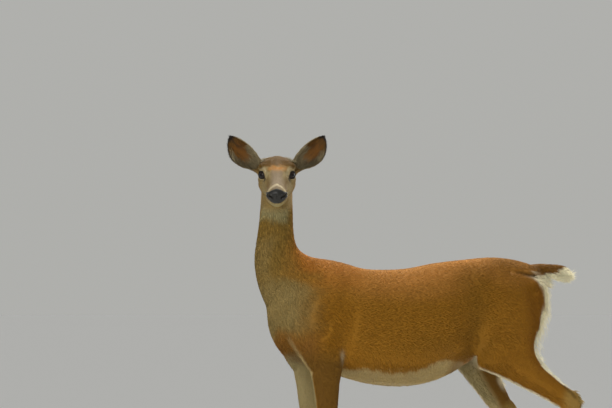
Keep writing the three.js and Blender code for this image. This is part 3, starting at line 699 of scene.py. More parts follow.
def coat_colour(points, normals):
    """Linear colour of the coat anywhere on her, with its painted highlights and shade."""
    x, y, z = (points * 1000).T
    across = y - MIDLINE * 1000
    flat = np.stack([x, z], 1)
    to_rear, to_left, to_sky = normals.T
    outer = outward(normals, points)
    head, _, _, tail = shares_of(points)
    slow, quick = drift(points, 0.16, 3), drift(points, 0.035, 5)
    wave = 14 * slow + 5 * quick
    # back and sides; the back's lighter tone on sky-facing surfaces is a painted highlight, replaced by a
    # darker one over the rump
    top = rise(to_sky, 0.15, 0.75) * rise(z + wave, 700, 790)
    layers = [
        ("haunch", rise(x + wave, 210, 330)),
        ("shoulder", rise(x + wave, -160, -240) * rise(z, 780, 720)),
        ("back", top),
        ("rump_top", top * rise(x + wave, 180, 330)),
        # painted highlight: light orange over the top of the withers
        ("withers", rise(z + wave, 776, 812) * rise(x + wave, -130, -190) * 0.25),
        ("spine", bell(across, 0, 16) * rise(to_sky, 0.6, 0.9) * 0.7),
        # painted shade: darker in the hollow of the flank, and faintly in a band low on the barrel
        ("flank", bell(x + 0.5 * wave, 200, 52) * rise(outer, 0.3, 0.8) * 0.45),
        ("flank", bell(x, 60, 160) * bell(z, 600, 50) * 0.25),
    ]
    # chest and neck
    ahead = rise(x, -280, -330)
    grey = rise(x + 1.3 * wave - 0.10 * (z - 700), -282, -425) * rise(z + wave, 610, 680)
    turn = np.radians(np.interp(z, *NECK_TURN))
    front = -to_rear * np.cos(turn) - to_left * np.sin(turn)
    uneven = front + 0.1 * slow
    low_neck = bell(x, -335, 58) * rise(z + 0.5 * wave, 826, 858) * rise(z + wave, 975, 905)
    layers += [
        ("chest", grey * rise(z + 0.3 * x, 720, 690)),
        ("brisket", rise(x, -290, -360) * rise(z + 1.4 * wave, 676, 618) * rise(z, 530, 560) * 0.9),
        ("nape", rise(z + wave, 810, 870) * ahead),
        ("neck", rise(z + wave, 780, 850) * ahead * rise(uneven, -0.35, 0.35)),
        ("throat", rise(z + wave, 986, 1014) * ahead * rise(front, 0.20, 0.65)),
        ("chest", rise(z + wave, 800, 850) * rise(z, 980, 930) * ahead * rise(uneven, 0.30, 0.75) * 0.6),
        ("withers", low_neck * rise(front, 0.5, -0.2) * 0.75),
    ]
    # pale below, the belly's white greyed as painted shade under the body, and a white spot behind the elbow
    border = np.interp(x, *BELLY_LINE) + 3 * quick
    under = rise(z, border + 4, border - 4) * rise(x, -246, -236) * rise(z, 380, 420)
    fold = rise(x, 110, 170) * rise(outer, 0.2, 0.5)
    beneath = rise(to_sky, -0.30, -0.65) * rise(z, 600, 580) * rise(z, 440, 480)
    beneath *= np.where(x > 0, np.maximum(rise(z, border + 8, border), rise(outer, 0.3, 0.0)), 1)
    spot = bell(x, -241, 7) * rise(z, 604, 570) * rise(z, 522, 534) * rise(outer, 0.0, 0.3)
    layers += [
        ("belly", under * (1 - head) * (1 - fold)),
        ("groin", under * fold * rise(x, 226, 206)),
        ("groin", beneath * np.maximum(rise(x, 130, 190), rise(x, -236, -250))),
        ("white", spot * 0.8),
    ]
    # forelegs: brown outside, pale at their edges and inside
    edge = rise(outer + 0.05 * quick, 0.30, 0.10)
    breast = from_line(np.stack([x * TO_THE_RIGHT[0] + y * TO_THE_RIGHT[1], z], 1), *BREAST_LINE)
    breast = rise(breast + 2 * quick, np.interp(z, [520, 640], [5, 11]), 0.5) * rise(x, -300, -330)
    layers += [
        ("leg", rise(z, 630, 540) * rise(z, 250, 300) * rise(outer, 0.2, 0.5) * rise(x, -220, -240)),
        ("inner_leg", edge * rise(z, 584, 556) * rise(z, 250, 300) * rise(z, 585, 560) * rise(x, -222, -232)),
        ("belly", breast * (across < -20) * np.interp(z, [540, 640], [0.9, 0.3])),
    ]
    # hind legs: pale inside, with a white line along the thigh's lower edge, white behind, and painted shade in
    # the crease below the tail
    hind = rise(x, 180, 215) * rise(z, 610, 575)
    rim = bell(outer + 0.03 * quick, -0.05, 0.09) * rise(to_rear, 0.2, -0.1)
    to_camera = -(to_rear * LOOK_ALONG[0] + to_left * LOOK_ALONG[1])
    lower = rise(to_camera + 0.04 * quick, 0.62, 0.42) * rise(to_camera, -0.35, -0.1)
    lower *= rise(to_sky, -0.3, -0.55) * rise(x, 200, 235)
    rump = rise(x, 350, 400) * rise(z, 850, 820) * rise(z, 440, 500)
    buttocks = rise(outer, 0.15, -0.2) * rise(x, 230, 290) * rise(z, 820, 790) * rise(z, 520, 580)
    crease = from_line(flat, *TAIL_CREASE)
    deep = np.interp(x, [345, 430], [0.2, 1])
    layers += [
        ("inner_leg", hind * rise(outer + 0.03 * quick, 0.02, -0.12) * rise(z, 300, 380)),
        ("white", hind * np.where(across < 0, lower, rim) * rise(z, 400, 440) * 0.75),
        ("leg", hind * rise(outer, 0.1, -0.2) * rise(to_rear, -0.30, 0.10) * rise(z, 330, 380)),
        ("rump_edge", rise(to_rear, 0.10, 0.45) * rump * 0.7),
        ("white", np.maximum(white_behind(points, normals), buttocks)),
        # painted shade: near black in the crease below the tail, strongest at the tail's root
        ("hollow", rise(crease + quick, 4 + 8 * deep, 1) * rise(outer, 0.0, 0.4) * deep),
    ]
    # shins, fetlocks, pasterns and hocks, with painted shade along the cord above each hock
    shin = rise(z, 330, 250)
    layers += [
        ("shin", shin),
        ("leg", shin * rise(to_rear, 0.0, 0.6) * 0.5),
        ("inner_leg", shin * rise(outer, -0.2, -0.7) * 0.6),
        ("leg", bell(z, 96, 26) * rise(to_rear, -0.1, 0.6) * 0.8),
        ("inner_leg", rise(z, 62, 44) * 0.55),
    ]
    for side, hock, cord_top, cord_end in HOCKS:
        other = OTHER_LEG * (across * side < 0)
        from_hock = np.linalg.norm(flat - hock, axis=1) + other
        from_cord = from_line(flat, cord_top, cord_end) + other
        layers += [
            ("hock", rise(from_hock, 62, 26) * 0.6),
            # painted shade along the cord above the hock
            ("hollow", rise(from_cord, 9, 2) * rise(outer, 0.2, 0.7) * 0.5),
        ]
    # tail
    edge = 834 + 0.26 * (x - 463) + 2 * quick
    layers += [
        ("tail", tail),
        ("white", tail * np.maximum(rise(z, edge + 4, edge - 3), rise(x + 2 * quick, 548, 560))),
    ]
    colours = painted(np.tile(COAT["side"], (len(points), 1)), layers)
    return ear_colour(face_colour(colours, points, normals, head), points, normals)


def face_colour(colours, points, normals, head):
    """The colours with the markings of the face over them."""
    local = one_side(in_head(points))
    ahead, out, up = local.T
    to_top = (normals @ HEAD_AXES)[:, 2]
    quick = drift(points, 0.018, 11)
    rough = quick + 0.8 * drift(points, 0.007, 29)
    brow = bell(ahead + 5 * rough, -137 - 0.2 * out, 14) * rise(out + 7 * rough, 44, 16) * rise(up, 36, 44)
    eyebrow = np.linalg.norm(local - (-143, 45, 42), axis=1) + 2 * rough
    inner_eye = np.linalg.norm(local - (-130, 34, 26), axis=1) + 3 * rough
    beside = from_line(local, (-108, 33, 20), (-62, 29, 8)) + 3 * rough
    far, off, _, above, within = at_eye(points)
    near = rise(off, 86, 70) * rise(far, 48, 38)
    tear = from_line(local, (-142, 52, 10), (-124, 45, 3))
    chevron = bell(ahead + 1.5 * rough, -32 + 0.66 * out, 6.5) * rise(up, -6, 2) * rise(out, 36, 31)
    layers = [
        ("cheek", 1.0),
        ("jaw", rise(ahead, -130, -185) * rise(up, 20, -10)),
        ("muzzle", rise(ahead, -110, -70) * rise(out, 10, 22) * rise(up, -24, -10) * 0.6),
        ("bridge", rise(out + 2 * quick, 26, 12) * rise(to_top, 0.3, 0.6) * rise(ahead, -136, -120)),
        ("temple", rise(ahead, -172, -196) * rise(up, 0, 18) * rise(out, 30, 42)),
        ("crown", rise(ahead + 3 * quick, -146, -160) * rise(up, 34, 46)),
        ("brow", brow * np.clip(0.85 + 0.25 * rough, 0, 1)),
        ("eyebrow", rise(eyebrow, 16, 6) * 0.9),
        ("eyebrow", bell(inner_eye, 0, 11) * 0.6),
        ("temple", bell(beside, 0, 11) * 0.75),
        ("pale", near * rise(within, -15, -8) * rise(above, 0, 7) * 0.8),
        ("ring", near * rise(within, -12, -6) * 0.7),
        ("pale", near * rise(within, -6.5, -4.5) * 0.5),
        ("dark", np.maximum(near * rise(within, -4.6, -3.2), rise(tear, 3.0, 1.2) * 0.42)),
        ("chin", rise(up, -25, -30) * rise(ahead, -150, -120)),
        ("chin", rise(up, -44, -56) * rise(ahead, -250, -200) * 0.4),
        ("eyebrow", chevron * np.clip(0.62 + 0.2 * rough, 0, 1)),
        ("pale", bell(ahead, -30, 13) * bell(up, -13, 13) * rise(out, 22, 28) * 0.6),
        ("dark", nose_share(local)),
    ]
    return painted(colours, layers, head)


def nose_share(local):
    """Where the bare black nose is, in the head's frame."""
    ahead, out, up = one_side(local).T
    back = np.interp(out, [0, 10, 20, 28, 34], [-9, -6.5, -7, -11, -22])
    bottom = np.interp(out, [0, 8, 18, 27, 34], [-24, -23, -18, -10, -2])
    slit = from_line(one_side(local), (-4, 29, 4), (-17, 35, 2))
    pad = rise(ahead, back - 1.2, back + 1.2) * rise(up, bottom - 1.2, bottom + 1.2)
    return np.maximum(pad, rise(slit, 6.8, 5.0))


def ear_edges(along):
    """How far the ear reaches below and above its midline, that far along it."""
    return (np.interp(along, EAR_FORM[:, 0], EAR_FORM[:, k]) for k in (1, 2))


def ear_colour(colours, points, normals):
    """The colours with the markings of both ears over them."""
    quick = drift(points, 0.022, 17)
    for side in BOTH:
        along, low, out = at_ear(points, side)
        face = ear_frame(side)[3]
        share = rise(along, 0.06, 0.20) * (along < 1.06) * (np.abs(low) < 54) * (np.abs(out) < 36)
        inner = rise(normals @ face, -0.10, 0.25)
        edge_low, edge_high = ear_edges(along)
        to_rim = np.where(low > 0, edge_low - low, edge_high + low)
        patch = drift(points, 0.010, 23 + side)
        middle = bell(along + 0.05 * quick, 0.58, 0.28) * bell(low + 3 * quick, 7, 25) * (1 + 0.45 * patch)
        blotch = bell(along + 0.05 * patch, 0.70, 0.08) * bell(low + 4 * patch, -3, 9)
        pale_edge = rise(to_rim, 15, 6) * (low > 0) * bell(along + 0.04 * patch, 0.62, 0.14)
        front_rim = rise(to_rim, 3.2, 1.0) * (low < 0) * rise(along, 0.15, 0.30) * rise(along, 0.92, 0.84)
        dark_rim = rise(to_rim, 4.2, 1.2) * rise(along, 0.42, 0.60) * (low > 0)
        layers = [
            ("ear_back", 1 - inner),
            ("ear_base", (1 - inner) * rise(along, 0.34, 0.14) * 0.6),
            ("ear_edge", inner),
            ("ear_inner", inner * np.clip(1.25 * middle, 0, 1)),
            ("ear_rim", inner * blotch * 0.6),
            ("ear_hair", inner * pale_edge * 0.3),
            ("ear_hair", front_rim * 0.6),
            ("ear_hair", inner * bell(along, 0.22, 0.16) * 0.5),
            ("ear_rim", np.maximum(dark_rim, rise(along + 0.02 * quick, 0.89, 0.95))),
        ]
        colours = painted(colours, layers, share)
    return colours


def colour_layer(obj, colours, name="coat"):
    """Keeps a colour for every point of the mesh."""
    layer = obj.data.color_attributes.new(name, "FLOAT_COLOR", "POINT")
    opaque = np.column_stack([colours, np.ones(len(colours))])
    layer.data.foreach_set("color", opaque.astype(np.float32).ravel())


def along_skin(ways, normals, share=1.0):
    """The ways, turned by that share down to the skin."""
    return unit(ways - normals * np.sum(ways * normals, 1)[:, None] * share)


def lie_of(points, normals):
    """The way the hair points anywhere on her, along the skin."""
    x, _, z = (points * 1000).T
    head, neck, leg, tail = shares_of(points)
    low = rise(normals[:, 2], 0.8, 0.1)
    way = np.tile([1.0, 0, -0.10], (len(points), 1))
    for goal, mask in (
        ((0.62, 0, -0.78), rise(x, 250, 400) * low),
        ((0.10, 0, -1), rise(x, 360, 440) * low),
        ((0.80, 0, -0.55), rise(x, -190, -250) * rise(z, 880, 800) * low),
        ((0.42, 0, -0.90), rise(x, -300, -390) * rise(z, 900, 820)),
        ((0.55, 0, -0.85), rise(z, 640, 560) * rise(x, 210, 260)),
        ((0.10, 0, -1), rise(z, 600, 520) * rise(x, -220, -240)),
        ((0.10, 0.02, -1), neck),
        ((0.05, 0, -1), leg),
        ((1, 0, -0.06), tail),
        ((0.85, 0, -0.55), rise(z, 590, 540) * rise(z, 400, 440) * rise(x, 250, 290)),
    ):
        way = mixed(way, np.array(goal), mask[:, None])
    local = in_head(points)
    slope = -0.28 * rise(local[:, 2], 20, -20)
    back = unit(np.stack([np.full(len(x), -1.0), np.sign(local[:, 1]) * 0.15, slope], 1))
    fan = unit((local - (-150, 0, 70)) * (1, 1, 0))
    back = back + fan * 0.5 * rise(local[:, 2], 40, 55)[:, None]
    way = mixed(way, back @ HEAD_AXES.T, head[:, None])
    for side in BOTH:
        along, low, out = at_ear(points, side)
        _, axis, down, _ = ear_frame(side)
        share = rise(along, 0.02, 0.16) * (along < 1.06) * (np.abs(low) < 54) * (np.abs(out) < 36)
        way = mixed(way, axis + down * (low / 90)[:, None], share[:, None])
    return along_skin(way, normals)


# ------------------------------------------------------------------------------- finish of the skin
# The skin keeps the coat's colours in a layer on its points. It is thinned where it is plain, most on the
# trunk, and kept fine on the face.
FINEST = 190000  # triangles in the skin
UNDER_THE_COAT = 0.95  # how light the skin is beside the hair over it


class Socket:
    """A shader socket that can be used in sums."""

    def __init__(self, tree, out):
        self.tree, self.out = tree, out

    def node(self, kind, settings=None, **values):
        return add_node(self.tree, kind, settings, **values)

    def sum(self, operation, other, turned=False):
        pair = (other, self) if turned else (self, other)
        return self.node("ShaderNodeMath", {"operation": operation}, i0=pair[0], i1=pair[1])

    def __add__(self, other):
        return self.sum("ADD", other)

    def __sub__(self, other):
        return self.sum("SUBTRACT", other)

    def __mul__(self, other):
        return self.sum("MULTIPLY", other)

    def __rsub__(self, other):
        return self.sum("SUBTRACT", other, turned=True)

    __radd__, __rmul__ = __add__, __mul__


def put(tree, socket, value):
    """Gives a node's input another's output to follow, or a constant."""
    if isinstance(value, Socket):
        tree.links.new(value.out, socket)
    else:
        socket.default_value = value


def add_node(tree, kind, settings=None, output=0, **values):
    """A node of that type: its settings first, then what its sockets get, by name or by number as i0, i1."""
    made = tree.nodes.new(kind)
    for name, value in (settings or {}).items():
        if name == "stops":
            ramp = made.color_ramp
            while len(ramp.elements) < len(value):
                ramp.elements.new(1)
            for element, (at, colour) in zip(ramp.elements, value):
                element.position = at
                element.color = (*colour, 1) if hasattr(colour, "__len__") else (colour, colour, colour, 1)
        else:
            setattr(made, name, value)
    for name, value in values.items():
        number = name[0] == "i" and name[1:].isdigit()
        put(tree, made.inputs[int(name[1:]) if number else name.replace("_", " ")], value)
    return Socket(tree, made.outputs[output])


def new_finish(name):
    """A material and its node tree."""
    finish = bpy.data.materials.new(name)
    finish.use_nodes = True
    return finish, finish.node_tree


def feed(tree, **values):
    """Gives the material's shader its inputs, each a socket or a constant."""
    shader = tree.nodes["Principled BSDF"]
    for name, value in values.items():
        put(tree, shader.inputs[name.replace("_", " ")], value)


def place_on(tree, stretch):
    """Object coordinates, stretched."""
    at = add_node(tree, "ShaderNodeTexCoord", output=3)
    return add_node(tree, "ShaderNodeMapping", Vector=at, Scale=stretch)


def hair_streaks(tree):
    """Fine light and dark streaks along the lie of the hair: level on the trunk, upright on neck and legs."""
    upright = add_node(tree, "ShaderNodeAttribute", {"attribute_name": "upright"}, output=2)
    level, tall = (
        add_node(tree, "ShaderNodeTexNoise", Vector=place_on(tree, stretch), Scale=1.0, Detail=3.0)
        for stretch in ((70, 420, 420), (420, 420, 70))
    )
    return level + (tall - level) * upright


def tinted(tree, colour, amount, low, high):
    """The colour times a grey that runs from low to high with amount."""
    grey = add_node(tree, "ShaderNodeValToRGB", {"stops": [(0.3, low), (0.7, high)]}, i0=amount)
    times = {"data_type": "RGBA", "blend_type": "MULTIPLY"}
    return add_node(tree, "ShaderNodeMix", times, output=2, i0=1.0, i6=colour, i7=grey)


def ranged(tree, amount, first, last):
    """A number that runs from first to last as the amount goes from 0.3 to 0.7."""
    return add_node(tree, "ShaderNodeMapRange", Value=amount, i1=0.3, i2=0.7, i3=first, i4=last)


def bumped(tree, height, strength, distance, settings=None):
    return add_node(tree, "ShaderNodeBump", settings, Height=height, Strength=strength, Distance=distance)


def coat_finish(name, low, high, roughness, bump):
    """Hair in the mesh's own colours, with streaks from low to high times as light."""
    finish, tree = new_finish(name)
    colour = add_node(tree, "ShaderNodeAttribute", {"attribute_name": "coat"})
    streaks = hair_streaks(tree)
    feed(tree, Base_Color=tinted(tree, colour, streaks, low, high), Specular_IOR_Level=0.12)
    feed(tree, Roughness=ranged(tree, streaks, roughness + 0.08, roughness - 0.08))
    if bump:
        feed(tree, Normal=bumped(tree, streaks, bump, 0.0015))
    return finish


# The bare nose is a sheet of its own over the skin, damp and pebbled.
world = points_of(skin)
share = nose_share(in_head(world)) * on_face(world)
nose = copy_of(skin, "nose_leather")
bpy.context.tool_settings.mesh_select_mode = (True, False, False)
for kind in (nose.data.edges, nose.data.polygons):
    kind.foreach_set("select", np.zeros(len(kind), bool))
nose.data.vertices.foreach_set("select", share < 0.5)
bpy.ops.object.mode_set(mode="EDIT")
bpy.ops.mesh.delete(type="VERT")
bpy.ops.object.mode_set(mode="OBJECT")
relax(nose, 0.3, 1)
shape(nose, "SOLIDIFY", thickness=0.0014, offset=-0.2)
bpy.ops.object.shade_smooth()
leather, tree = new_finish("nose_leather")
pebbles = {"feature": "SMOOTH_F1"}
pebbles = add_node(tree, "ShaderNodeTexVoronoi", pebbles, Vector=place_on(tree, (1, 1, 1)), Scale=620.0)
broad = add_node(tree, "ShaderNodeTexNoise", Vector=place_on(tree, (1, 1, 1)), Scale=60.0, Detail=3.0)
blacks = [(0.25, (0.004, 0.004, 0.003)), (0.6, (0.010, 0.009, 0.007)), (0.85, (0.030, 0.027, 0.022))]
feed(tree, Base_Color=add_node(tree, "ShaderNodeValToRGB", {"stops": blacks}, i0=broad))
feed(tree, Specular_IOR_Level=0.35)
feed(tree, Roughness=ranged(tree, broad, 0.30, 0.50))
feed(tree, Normal=bumped(tree, pebbles, 0.55, 0.0006, {"invert": True}))
nose.data.materials.append(leather)
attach(nose, "root")
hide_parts("nose_pad")

triangles = sum(len(p.vertices) - 2 for p in skin.data.polygons)
shape(skin, "DECIMATE", ratio=FINEST / triangles)
for name in [a.name for a in skin.data.attributes if not a.is_required and not a.is_internal]:
    skin.data.attributes.remove(skin.data.attributes[name])
bpy.ops.object.shade_smooth()


def upright_share(points):
    """How upright the hair stands, for its streaks."""
    head, neck, leg, tail = shares_of(points)
    x, _, z = (points * 1000).T
    chest = rise(x, -300, -390)
    return np.clip(np.maximum.reduce([neck, leg * 0.9, chest, rise(x, 400, 450) * (1 - tail)]), 0, 1)


def number_layer(obj, values, name):
    layer = obj.data.attributes.new(name, "FLOAT", "POINT")
    layer.data.foreach_set("value", np.asarray(values, np.float32))


# The markings follow the broad turn of the body, not each muscle, so they read normals blurred over it.
world, normals = points_of(skin), normals_of(skin)
detailed = np.maximum(shares_of(world)[0], ear_share(world))
broad_normals = unit(blurred(skin, normals, 0.8 * (1 - detailed), 16))
colour_layer(skin, coat_colour(world, broad_normals) * UNDER_THE_COAT)
number_layer(skin, upright_share(world), "upright")
skin.data.materials.clear()
skin.data.materials.append(coat_finish("skin_under_the_coat", 0.92, 1.05, 0.64, 0.2))
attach(skin, "root")
in_skin = [n for n in flesh if not n.startswith(("eye_", "nose_", "dewclaw_"))]
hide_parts(*in_skin, "ear_left", "ear_right")

# --------------------------------------------------------------------------------------------- coat
# Thousands of tufts lie over the skin as the hair does, each a thin spike rooted in it, short on the face
# and feet and longer on the trunk. Their colours are the skin's, a little lighter or darker each.
draw = np.random.default_rng(1863)
SINK = 0.0008  # how deep the roots are
PATCH = 0.0014  # half of a tuft's place on the unwrap
COARSE = 0.045  # share of the skin's triangles that its unwrap keeps


def seeds(spacing_at):
    """Roots spread evenly over the skin, closer where spacing_at is smaller: their places, normals and broad
    normals."""
    skin.data.calc_loop_triangles()
    corners = read(skin.data.loop_triangles, "vertices", 3, np.int32)
    at, up = points_of(skin), normals_of(skin)
    a, b, c = (at[corners[:, k]] for k in range(3))
    area = np.linalg.norm(np.cross(b - a, c - a), axis=1) / 2
    middle = (a + b + c) / 3
    facing = unit(up[corners].sum(1))
    order = np.lexsort((middle[:, 0], np.round(middle[:, 2] * 120)))
    weight = (area / spacing_at(middle, facing) ** 2)[order]
    total = np.cumsum(weight)
    count = int(total[-1])
    steps = (np.arange(count) + draw.random(count)) * total[-1] / count
    pick = order[np.clip(np.searchsorted(total, steps), 0, len(order) - 1)]
    s, t = draw.random(count), draw.random(count)
    over = s + t > 1
    s[over], t[over] = 1 - s[over], 1 - t[over]
    shares = np.stack([1 - s - t, s, t], 1)[..., None]
    places, ups, broad_ups = (np.sum(values[corners[pick]] * shares, 1) for values in (at, up, broad_normals))
    return places, unit(ups), unit(broad_ups)


# A coarse copy of the skin, for the places of the tufts on an unwrap.
coarse = copy_of(skin, "coarse")
shape(coarse, "DECIMATE", ratio=COARSE)
edit_whole(coarse, bpy.ops.mesh.quads_convert_to_tris)
coarse_at = points_of(coarse)
coarse_faces = [tuple(p.vertices) for p in coarse.data.polygons]
coarse_tree = BVHTree.FromPolygons([Vector(p) for p in coarse_at], coarse_faces)
bpy.data.objects.remove(coarse, do_unlink=True)


def spread_out(roots):
    """Each root's place on an unwrap of the skin around these roots."""
    found = [coarse_tree.find_nearest(Vector(p)) for p in roots]
    face = np.array([f[2] for f in found])
    spot = np.array([f[0] for f in found])
    used = np.unique(face)
    renumber = np.full(len(coarse_faces), -1)
    renumber[used] = np.arange(len(used))
    kept = [coarse_faces[i] for i in used]
    patch = mesh_of("unwrap", coarse_at, kept)
    edit_whole(patch, bpy.ops.uv.smart_project, angle_limit=math.radians(66), island_margin=0.002)
    flat = read(patch.data.uv_layers.active.data, "uv", 2).reshape(-1, 3, 2).astype(float)[renumber[face]]
    corner = np.array(kept)[renumber[face]]
    a, b, c = (coarse_at[corner[:, k]] for k in range(3))
    normal = np.cross(b - a, c - a)
    size = np.maximum(np.sum(normal * normal, 1), 1e-18)
    s = np.sum(np.cross(spot - a, c - a) * normal, 1) / size
    t = np.sum(np.cross(b - a, spot - a) * normal, 1) / size
    s, t = np.clip(s, 0, 1), np.clip(t, 0, 1)
    uv = flat[:, 0] * (1 - s - t)[:, None] + flat[:, 1] * s[:, None] + flat[:, 2] * t[:, None]
    bpy.data.objects.remove(patch, do_unlink=True)
    low, high = uv.min(0), uv.max(0)
    return 0.003 + 0.994 * (uv - low) / np.maximum(high - low, 1e-6)


# A short tuft is a spike of four points; a long one has three more halfway, and bends there. Each has its
# faces, and where its points lie on its place on the unwrap.
SPIKE = np.array([(0, 2, 1), (0, 3, 2), (1, 2, 3), (0, 1, 3)])
SPIKE_PATCH = np.array([(-1, -1), (1, -1), (0, 0), (0, 1)])
LONG_SIDES = [(0, 1, 2), (0, 3, 1), (1, 3, 4), (1, 4, 2), (2, 4, 5), (2, 5, 0), (0, 5, 3)]
LONG = np.array(LONG_SIDES + [(3, 6, 4), (4, 6, 5), (5, 6, 3)])
LONG_PATCH = np.array([(-1, -1), (1, -1), (0, 0), (-0.6, 0), (0.6, 0), (0, 0.4), (0, 1)])


def coat_piece(name, slot, finish, roots, ups, ways, long, wide, rise_of_tip, colours, curl=None):
    """One piece of the coat, with a tuft at each root. Sizes are in metres, one for each tuft, and a curl
    makes them long tufts that bend back to the skin by that share."""
    count = len(roots)
    turn = draw.normal(0, 0.045 if curl is None else 0.12, count)
    ways = unit(ways + np.cross(ups, ways) * turn[:, None])
    sideways = unit(np.cross(ups, ways))
    base = roots - ups * SINK
    half = sideways * (wide / 2)[:, None]
    along, high = ways * long[:, None], rise_of_tip[:, None]
    if curl is None:
        pattern, patch = SPIKE, SPIKE_PATCH
        ridge = base + along * 0.36 + ups * (high * 0.42 + SINK + wide[:, None] * 0.08)
        rows = [base - half, base + half, ridge, base + along + ups * (high + SINK)]
    else:
        pattern, patch = LONG, LONG_PATCH
        thick = ups * (wide / 2)[:, None]
        swing = sideways * draw.normal(0, 0.16, count)[:, None] * long[:, None]
        middle = base + along * 0.5 + ups * (high * 0.72 + SINK) + swing * 0.2
        tip = base + along * (1 - 0.15 * curl) + ups * (high * (1 - curl) + SINK) + swing * 0.7
        rows = [base - half, base + half, base + thick * 1.1]
        rows += [middle - half * 0.8, middle + half * 0.8, middle + thick * 0.7, tip]
    step = len(rows)
    points = np.stack(rows, 1).reshape(-1, 3)
    faces = (pattern[None] + (np.arange(count) * step)[:, None, None]).reshape(-1, 3)
    mesh = bpy.data.meshes.new(name)
    mesh.vertices.add(len(points))
    mesh.vertices.foreach_set("co", points.astype(np.float32).ravel())
    mesh.loops.add(faces.size)
    mesh.loops.foreach_set("vertex_index", faces.astype(np.int32).ravel())
    mesh.polygons.add(len(faces))
    mesh.polygons.foreach_set("loop_start", np.arange(0, faces.size, 3, dtype=np.int32))
    mesh.update(calc_edges=True)
    piece = placed(name, mesh)
    mesh.polygons.foreach_set("use_smooth", np.ones(len(faces), bool))
    colour_layer(piece, np.repeat(colours, step, axis=0))
    number_layer(piece, np.repeat(upright_share(roots), step), "upright")
    spots = spread_out(roots)
    corner_uv = np.clip(spots[:, None] + patch * PATCH, 0.0005, 0.9995).reshape(-1, 2)[faces.ravel()]
    layer = mesh.uv_layers.new(name="OFBake")
    layer.data.foreach_set("uv", corner_uv.astype(np.float32).ravel())
    mesh.materials.append(finish)
    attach(piece, "root")
    return piece


def spacing(points, normals):
    """How far apart tufts are, in metres."""
    near = by_part(points, 0.0031, 0.0031, 0.0028, 0.0034, 0.0020)
    local = in_head(points)
    muzzle = rise(local[:, 0], -130, -60) * on_face(points)
    near = mixed(mixed(near, 0.0016, muzzle), 0.0024, ear_share(points))
    return mixed(near, 0.0030, rise(points[:, 2], 0.30, 0.22))


roots, ups, broad_ups = seeds(spacing)
# No hair on the nose, the lids, the lips and the hooves.
local = in_head(roots)
far, off, _, _, within = at_eye(roots)
lips = from_line(one_side(local), (-14, 31, -25), (-84, 34, -18))
bare = (nose_share(local) > 0.4) | ((far < 34) & (off < 88) & (within > -2.6)) | (lips < 1.2)
bare = (bare & on_face(roots)) | (roots[:, 2] < 0.034)
roots, ups, broad_ups = roots[~bare], ups[~bare], broad_ups[~bare]
count = len(roots)
ways = lie_of(roots, ups)
head, neck, _, _ = shares_of(roots)
on_ear = ear_share(roots)
muzzle = rise(in_head(roots)[:, 0], -150, -50) * on_face(roots)
long = by_part(roots, 0.0165, 0.0170, 0.0085, 0.0220, 0.0062)
long = mixed(mixed(long, 0.0030, muzzle), 0.0062, on_ear)
long = mixed(long, 0.0065, rise(roots[:, 2], 0.30, 0.20) * (1 - on_ear))
belly = rise(ups[:, 2], -0.3, -0.8) * rise(roots[:, 2], 0.44, 0.50) * (1 - head)
long = long * (1 + 0.5 * belly)
long *= draw.uniform(0.72, 1.25, count)
wide = by_part(roots, 0.0019, 0.0017, 0.0014, 0.0020, 0.0011)
wide = mixed(mixed(wide, 0.0008, muzzle), 0.0011, on_ear)
wide *= draw.uniform(0.75, 1.25, count)
lift = long * by_part(roots, 0.075, 0.10, 0.11, 0.18, 0.15) * draw.uniform(0.5, 1.35, count)
lift = lift + long * 0.12 * belly
colours = coat_colour(roots, broad_ups)
grizzle = 0.05 + 0.15 * neck + 0.12 * rise(roots[:, 0], -0.28, -0.38) + 0.05 * head
shade = np.exp(draw.normal(0, 1, count) * grizzle)
warm = draw.normal(0, 0.05, count)
colours = np.clip(colours * shade[:, None] * (1 + warm[:, None] * np.array([0.6, 0, -1])), 0.002, 0.9)
body_finish = coat_finish("coat_hair", 0.93, 1.05, 0.62, 0)
face_finish = coat_finish("face_hair", 0.84, 1.10, 0.62, 0)
left = roots[:, 1] < MIDLINE
is_head = (head > 0.5) | (on_ear > 0.25)
low = roots[:, 2] < 0.56
rear = roots[:, 0] > 0.0
front_body = roots[:, 0] < -0.05
parts = {
    "coat_head": is_head,
    "coat_legs_fore": ~is_head & low & ~rear,
    "coat_legs_hind": ~is_head & low & rear,
    "coat_fore_left": ~is_head & ~low & front_body & left,
    "coat_fore_right": ~is_head & ~low & front_body & ~left,
    "coat_hind_left": ~is_head & ~low & ~front_body & left,
    "coat_hind_right": ~is_head & ~low & ~front_body & ~left,
}
for name, chosen in parts.items():
    slot, finish = ("face_coat", face_finish) if name == "coat_head" else ("body_coat", body_finish)
    tufts = (values[chosen] for values in (roots, ups, ways, long, wide, lift, colours))
    coat_piece(name, slot, finish, *tufts)

# ---------------------------------------------------------------------------------------- long hair
# Longer hair breaks the outline: the white fan of the tail, the pale fringe behind the thighs and along the
# belly, the tufts on the hocks, the hair in the ears, and the lashes.
long_finish = coat_finish("long_hair", 0.88, 1.08, 0.58, 0)


def rooted(where, apart):
    """Roots that far apart where where() is over a half, with their normals and the coat's colours there."""
    roots, ups, broad_ups = seeds(lambda points, normals: np.where(where(points, normals) > 0.5, apart, 1.0))
    chosen = where(roots, ups) > 0.5
    return roots[chosen], ups[chosen], coat_colour(roots[chosen], broad_ups[chosen])


def hair_piece(name, slot, roots, ups, ways, long, wide, lift, colours, curl=0.25):
    """One piece of long hair: its usual length, width and lift vary from tuft to tuft."""
    count = len(roots)
    long = long * draw.uniform(0.7, 1.2, count)
    shade = np.exp(draw.normal(0, 0.08, count))[:, None]
    wides = np.full(count, wide) * draw.uniform(0.7, 1.3, count)
    lifts = long * lift * draw.uniform(0.5, 1.5, count)
    shaded = np.clip(colours * shade, 0, 0.9)
    return coat_piece(name, slot, long_finish, roots, ups, ways, long, wides, lifts, shaded, curl)


def on_tail(points, normals):
    return shares_of(points)[3] * (points[:, 0] > 0.432)


